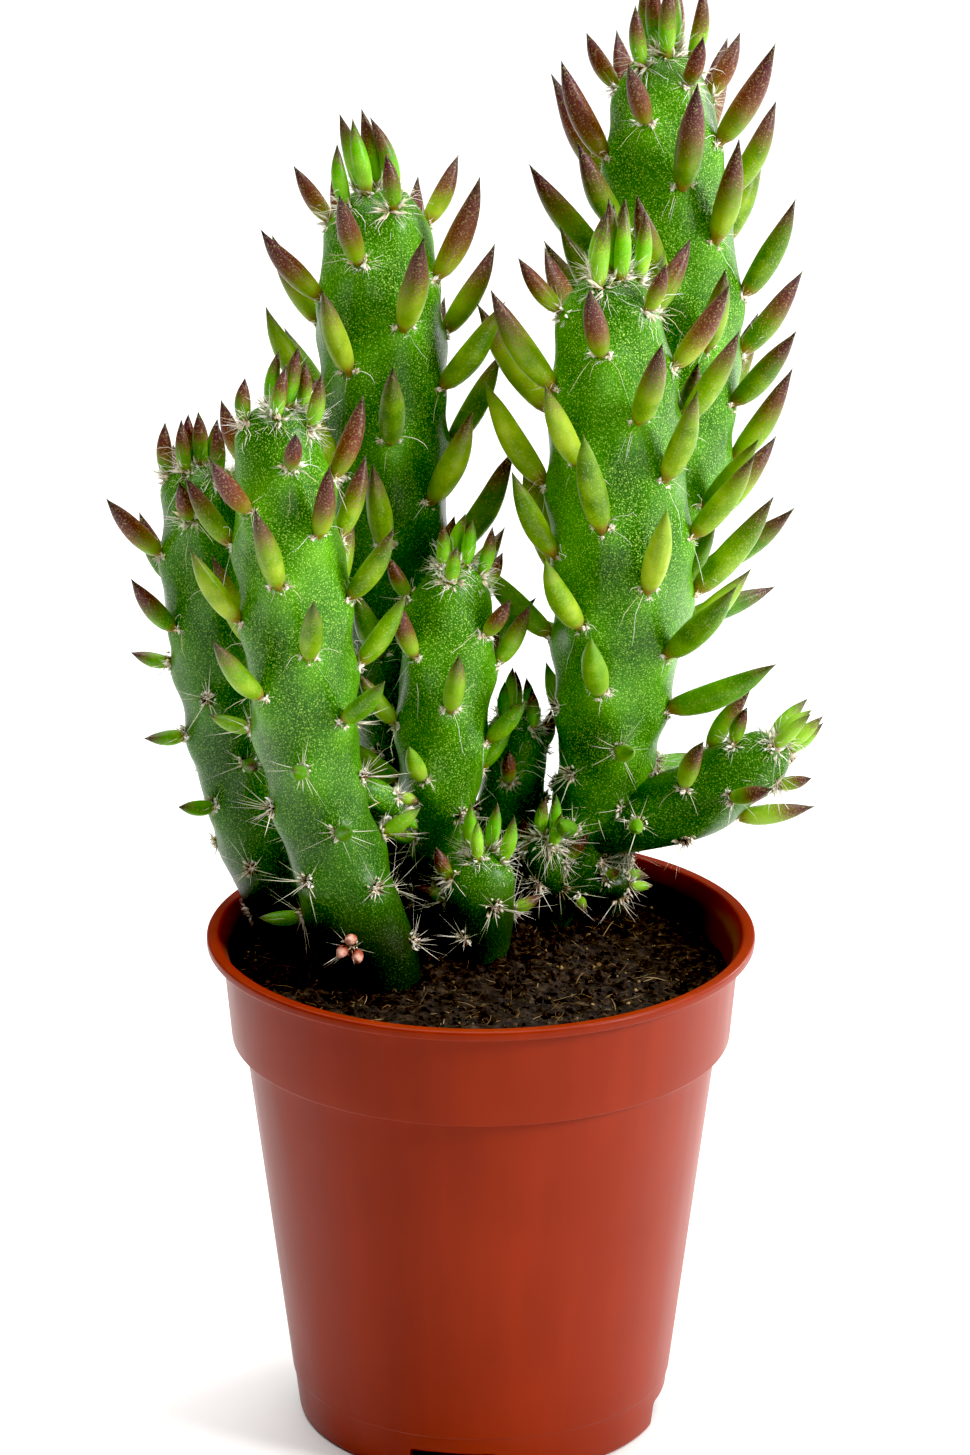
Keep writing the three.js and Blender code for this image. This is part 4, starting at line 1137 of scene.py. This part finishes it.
def wool_piece(name, shoots, fan, felt, wool):
    """The wool of a stem: tufts at every leaf's root and pads on bare areoles, with fine hanging hairs."""
    grow = partial(grow_fans, name, shoots, material=wool)
    kept_piece(joined(name, [
        grow("tuft", felt, Count=7, Seed=17, Open=(20, 85), Length=(0.5, 1), Width=0.66, Scatter=(0, 0.6),
             Sides=4, Rings=2, Bend=0.1, Curl=0.8, Curl_Scale=700),
        grow("tuft", fan, Count=18, Seed=11, Open=(20, 100), Length=(0.8, 1.9), Width=0.165,
             Scatter=(0, 0.7), Rings=1, Bend=0.1, Curl=0.9, Curl_Scale=500),
        grow("pad", felt, Count=20, Seed=19, Open=(0, 80), Length=(0.5, 1.1), Width=0.65, Scatter=(0, 1.8),
             Sides=4, Rings=2, Bend=0.1, Curl=1, Curl_Scale=700),
        grow("pad", fan, Count=24, Seed=23, Open=(5, 100), Length=(0.5, 1.3), Width=0.14, Scatter=(0, 1.8),
             Rings=1, Bend=0.1, Curl=1, Curl_Scale=500),
        grow("hair", fan, Count=3, Seed=13, Open=(50, 100), Length=(2.5, 7), Width=0.12, Scatter=(0.8, 2),
             Hang=1, Rings=5, Bend=0.45, Curl=0.5, Curl_Scale=260),
        grow("crown_hair", fan, Count=12, Seed=29, Open=(30, 95), Length=(2, 5.5), Width=0.14,
             Scatter=(0.8, 2.2), Hang=0.8, Rings=4, Bend=0.5, Curl=0.9, Curl_Scale=320),
    ]))


def buds_piece(name, shoot, tree, material):
    """Coral buds, which crowd on one old areole near the foot."""
    point, axis, out = next(shoot.stand(drop, turn) for n, drop, turn in shoot.areoles if n == BUD_AREOLE)
    away = [np.cross(axis, out) * across + axis * up for across, up in BUD_PLACES]
    buds = [dict(root=point + way, along=unit(out + BUD_PARTING * way), lift=axis, length=BUD_LENGTH,
                 width=BUD_WIDTH) for way in away]
    kept_piece(grown(name, strands_mesh(name, buds), tree, material, Sides=14, Rings=10, Sink=0.5, Bend=0.1,
                     Curl=0.8, Curl_Scale=500))


# Pot

LIP_UNDERSIDE = POT_HEIGHT - LIP_THICKNESS
LIP_INSIDE = LIP_RADIUS - LIP_WIDTH
STEP_UNDER = COLLAR_FOOT_Z - INNER_STEP_DROP
STEP_OVER = COLLAR_FOOT_Z + WALL


def body_radius(z):
    return float(np.interp(z, (0, COLLAR_FOOT_Z), (BASE_RADIUS, BODY_TOP_RADIUS)))


def collar_radius(z):
    share = (z - COLLAR_FOOT_Z) / (LIP_UNDERSIDE - COLLAR_FOOT_Z)
    return COLLAR_FOOT_RADIUS + share * (COLLAR_TOP_RADIUS - COLLAR_FOOT_RADIUS)


def rounded_profile(corners, steps=4):
    """Corners as (radius, z, rounding), with each rounding made a short arc."""
    points = []
    for i, (x, z, rounding) in enumerate(corners):
        here = np.array([x, z])
        if not rounding:
            points.append(here)
            continue
        back = unit(np.array(corners[i - 1][:2]) - here)
        ahead = unit(np.array(corners[i + 1][:2]) - here)
        for s in np.linspace(0, 1, steps + 1):
            points.append(here + rounding * (back * (1 - s) ** 2 + ahead * s**2))
    return np.array(points)


def cut_notch(cut, turn):
    """One drainage notch of the foot ring, with its upper corners rounded."""
    middle = NOTCH_DEPTH / 2 - NOTCH_START - BASE_RADIUS
    size = Matrix.Diagonal((NOTCH_WIDTH * MM, NOTCH_DEPTH * MM, 2 * NOTCH_HEIGHT * MM, 1))
    place = turn @ Matrix.Translation(Vector((0, middle, 0)) * MM)
    block = bmesh.ops.create_cube(cut, size=1, matrix=place @ size)["verts"]
    top = max(v.co.z for v in block)
    corners = [e for e in {e for v in block for e in v.link_edges}
               if min(v.co.z for v in e.verts) > top - MM and e.calc_length() < NOTCH_WIDTH / 2 * MM]
    bmesh.ops.bevel(cut, geom=corners, offset=NOTCH_ROUNDING * MM, segments=4, affect="EDGES", profile=0.5)


def pot_piece(material):
    """The pot: a thin moulded wall with a stepped collar, lip, raised floor, notches and drain holes."""
    line_foot = BASE_LINE_Z - 0.3
    corners = (
        (0, FLOOR_UNDERSIDE, 0), (BASE_RADIUS - FOOT_WIDTH, FLOOR_UNDERSIDE, 0.4),
        (BASE_RADIUS - FOOT_WIDTH, 0, 0.4), (BASE_RADIUS - BASE_LINE_DEPTH, 0, 1.1),
        (body_radius(line_foot) - BASE_LINE_DEPTH, line_foot, 0.15),
        (body_radius(BASE_LINE_Z), BASE_LINE_Z, 0.15), (BODY_TOP_RADIUS, COLLAR_FOOT_Z, 0.25),
        (COLLAR_FOOT_RADIUS, COLLAR_FOOT_Z, 0.5), (COLLAR_TOP_RADIUS, LIP_UNDERSIDE, 0.3),
        (LIP_RADIUS, LIP_UNDERSIDE, 0.55), (LIP_RADIUS, POT_HEIGHT, 0.6), (LIP_INSIDE, POT_HEIGHT, 0.55),
        (COLLAR_TOP_RADIUS - WALL, LIP_UNDERSIDE - LIP_SLOPE, 0.8),
        (collar_radius(STEP_OVER) - WALL, STEP_OVER, 0.5), (body_radius(STEP_UNDER) - WALL, STEP_UNDER, 0.5),
        (body_radius(FLOOR_TOP) - WALL, FLOOR_TOP, 0.6), (0, FLOOR_TOP, 0),
    )
    corner_points = rounded_profile(corners)[1:-1]
    profile = []
    for near, far in zip(corner_points, corner_points[1:]):
        count = max(1, round(np.linalg.norm(far - near) / POT_ROW_SPACING))
        profile += [near + (far - near) * s for s in np.linspace(0, 1, count, endpoint=False)]
    profile.append(corner_points[-1])
    turns = np.linspace(0, math.tau, POT_COLUMNS, endpoint=False)
    rings = [(r * np.sin(a), -r * np.cos(a), z) for r, z in profile for a in turns]
    vertices = [(0, 0, FLOOR_UNDERSIDE), *rings, (0, 0, FLOOR_TOP)]
    faces = [face[::-1] for face in tube_faces(len(profile), POT_COLUMNS)]
    wall = new_object("pot_wall", mesh_of("pot_wall", placed(vertices), faces))
    # A drain hole goes with every notch, and the last one is in the middle.
    cut = bmesh.new()
    for i in range(NOTCH_COUNT + 1):
        spin = Matrix.Rotation(math.radians(NOTCH_TURN) + i * math.tau / 4, 4, "Z")
        turn = Matrix.Translation(POT_FOOT) @ spin
        if i < NOTCH_COUNT:
            cut_notch(cut, turn)
        away = DRAIN_CIRCLE if i < NOTCH_COUNT else 0
        place = turn @ Matrix.Translation(Vector((away, 0, (FLOOR_UNDERSIDE + FLOOR_TOP) / 2)) * MM)
        bmesh.ops.create_cone(cut, cap_ends=True, segments=32, radius1=DRAIN_RADIUS * MM,
                              radius2=DRAIN_RADIUS * MM, depth=5 * MM, matrix=place)
    cutter = new_object("pot_cutter", bpy.data.meshes.new("pot_cutter"))
    cut.to_mesh(cutter.data)
    cut.free()
    boolean = wall.modifiers.new("notches", "BOOLEAN")
    boolean.operation, boolean.solver, boolean.object = "DIFFERENCE", "EXACT", cutter
    shown = wall.evaluated_get(bpy.context.evaluated_depsgraph_get())
    mesh = bpy.data.meshes.new_from_object(shown)
    mesh.set_sharp_from_angle(angle=math.radians(35))
    for spare in (wall, cutter):
        bpy.data.objects.remove(spare)
    mesh.name = "pot_shell"
    # Dust lies on the inner wall, from the step up to just under the lip's rounding.
    places = (np.array([v.co for v in mesh.vertices]) - POT_FOOT) / MM
    inner_radius = np.interp(places[:, 2], (STEP_OVER, LIP_UNDERSIDE - LIP_SLOPE, POT_HEIGHT),
                             (collar_radius(STEP_OVER) - WALL, COLLAR_TOP_RADIUS - WALL, LIP_INSIDE))
    inside = (np.hypot(places[:, 0], places[:, 1]) < inner_radius + 0.4) & (places[:, 2] > STEP_OVER)
    keep(mesh, dust=inside * smooth(POT_HEIGHT - places[:, 2], 0.3, 1.5))
    piece = new_piece("pot_shell", mesh, material)
    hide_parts("pot")


# Soil


def soil_height(x, y):
    away = np.hypot(x - HEAP_CENTRE[0], y - HEAP_CENTRE[1]) / HEAP_WIDTH
    lumps = np.sin(x * 0.55 + 2 * np.sin(y * 0.31)) * np.cos(y * 0.47 + np.sin(x * 0.4))
    return SOIL_Z + HEAP_HEIGHT * np.exp(-(away**2)) + LUMP_HEIGHT * lumps


def soil_mesh():
    """The filling of the pot: a rough top of settled crumbs, and plain sides that follow the pot's wall."""
    rim = collar_radius(SOIL_Z) - WALL - GAP
    turns = np.linspace(0, math.tau, SOIL_SECTORS, endpoint=False)
    sides = ((body_radius(FLOOR_TOP) - WALL - GAP, FLOOR_TOP + GAP),
             (body_radius(STEP_UNDER) - WALL - GAP, STEP_UNDER),
             (collar_radius(STEP_OVER) - WALL - 2 * GAP, STEP_OVER + GAP))
    vertices = [(0, 0, FLOOR_TOP + GAP)]
    vertices += [(r * math.sin(a), -r * math.cos(a), z) for r, z in sides for a in turns]
    for radius in np.linspace(rim, 0.5, SOIL_RINGS):
        for a in turns:
            x, y = radius * math.sin(a), -radius * math.cos(a)
            clods = CLOD_HEIGHT * noise.fractal(Vector((x, y, 0)) / CLOD_WIDTH, 1.0, 2.0, 3)
            grit = GRIT_HEIGHT * noise.fractal(Vector((x, y, 7)) / GRIT_WIDTH, 0.8, 2.0, 3)
            sag = RIM_SAG * float(smooth(radius, rim - RIM_SAG_WIDTH, rim))
            vertices.append((x, y, float(soil_height(x, y)) + clods + grit - sag))
    vertices.append((0, 0, float(soil_height(0, 0))))
    faces = [face[::-1] for face in tube_faces(len(sides) + SOIL_RINGS, SOIL_SECTORS)]
    out = np.hypot(*np.transpose(vertices)[:2])
    top = np.arange(len(vertices)) > (len(sides) + 1) * SOIL_SECTORS
    is_open = top & (out < rim - OPEN_FROM_RIM)
    return keep(mesh_of("soil_filling", placed(vertices), faces), top=top, open=is_open)


# Plant, pot and soil
skin = cactus_skin()
flesh = leaf_flesh()
horn = spine_horn()
wool = areole_wool()
brown = bristle_brown()
peat = damp_peat()
straw = peat_fibre()

leaf_tree = draw_out_tree("draw_out_leaves", LEAF_PROFILE)
spine_tree = draw_out_tree("draw_out_spines", SPINE_PROFILE)
hair_tree = draw_out_tree("draw_out_hairs", HAIR_PROFILE)
spine_fan = fan_tree("fan_of_spines", spine_tree)
hair_fan = fan_tree("fan_of_hairs", hair_tree)
felt_fan = fan_tree("fan_of_felt", draw_out_tree("draw_out_felt", FELT_PROFILE))

for spec, shoots in zip(PLANT, grow_all()):
    stem = spec["name"]
    skin_piece(stem, shoots, skin)
    leaves_piece(stem + "_leaves", shoots, leaf_tree, flesh)
    spines_piece(stem + "_spines", shoots, spine_fan, spine_tree, horn, brown)
    wool_piece(stem + "_wool", shoots, hair_fan, felt_fan, wool)

    if stem == "stem_front_left":
        buds_piece(stem + "_buds", shoots[0], draw_out_tree("draw_out_buds", BUD_PROFILE), bud_flesh())

pot_piece(pot_polypropylene())

soil = soil_mesh()
filling = new_piece("soil_filling", soil, peat)
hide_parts("soil")
kept_piece(joined("soil_crumbs", [
    grown("soil_crumbs", soil.copy(), crumb_tree("strewn_crumbs", "top"), peat_crumb(), Density=0.28e6,
          Seed=3, Size=(0.25, 0.7), Fineness=1, Roughness=0.5),
    grown("soil_lumps", soil.copy(), crumb_tree("strewn_lumps", "open"), peat, Density=0.05e6, Seed=4,
          Size=(0.5, 1.6), Fineness=2, Roughness=1),
    grown("soil_fibres", soil.copy(), lying_tree("strewn_fibres", hair_fan, "open"), straw, Density=0.1e6,
          Strew_Seed=5, Seed=6, Length=(1.5, 5.5), Width=0.15),
    grown("soil_bits", soil.copy(), lying_tree("strewn_bits", hair_fan, "top"), straw, Density=0.12e6,
          Strew_Seed=8, Seed=9, Length=(0.6, 1.5), Width=0.15, Rings=2),
]))

# Camera, fitted to the pot's lip, collar and base in the photo. Its focal length is in the photo's pixels.
FOCAL_LENGTH = 5594.7
PHOTO_HEIGHT = 1455
CAMERA_PLACE = (0.78, -1000, 485.1)
CAMERA_DIP = 19.052

camera = bpy.data.cameras.new("camera")
camera.sensor_width = 36
camera.lens = FOCAL_LENGTH / PHOTO_HEIGHT * camera.sensor_width
camera.clip_end = 20
camera_object = new_object("camera", camera)
camera_object.location = placed(CAMERA_PLACE)
camera_object.rotation_euler = (math.radians(90 - CAMERA_DIP), 0, 0)
bpy.context.scene.camera = camera_object

# Studio: a pale floor, a white room, a large soft light from the front right and a weaker one from the left.
board, add_to_board = new_material("painted_board")
add_to_board(OUTPUT, add_to_board(PRINCIPLED, colour("#f4f4f2"), Roughness=0.7, IOR=1.45))
floor_corners = [(-4, -4, 0), (4, -4, 0), (4, 4, 0), (-4, 4, 0)]
floor = new_object("floor", mesh_of("floor", floor_corners, [(0, 1, 2, 3)]))
floor.data.materials.append(board)

world = bpy.data.worlds.new("room")
world.use_nodes = True
bpy.context.scene.world = world
world.node_tree.nodes["Background"].inputs["Color"].default_value = colour("#ffffff")
world.node_tree.nodes["Background"].inputs["Strength"].default_value = 0.13


def soft_light(name, place, aim, size, power):
    light = bpy.data.lights.new(name, "AREA")
    light.shape, light.size, light.energy = "DISK", size, power
    lamp = new_object(name, light)
    lamp.location = place
    lamp.rotation_euler = (Vector(aim) - Vector(place)).to_track_quat("-Z", "Y").to_euler()


soft_light("overhead", (0.0, 0.7, 1.8), (0, 0.7, 0), 2.4, 66)
soft_light("key", (1.0, -0.5, 0.7), (0, 0, 0.12), 0.4, 17)
soft_light("rim", (0.55, 0.42, 0.3), (0, 0, 0.15), 0.25, 2.4)
soft_light("fill", (-0.45, -0.35, 1.2), (0, 0, 0.17), 0.4, 2.8)

# The display takes off the thin haze that the white room lays over dark colours.
view = bpy.context.scene.view_settings
view.view_transform = "Standard"
view.use_curve_mapping = True
view.curve_mapping.black_level = (0.016,) * 3
view.curve_mapping.update()
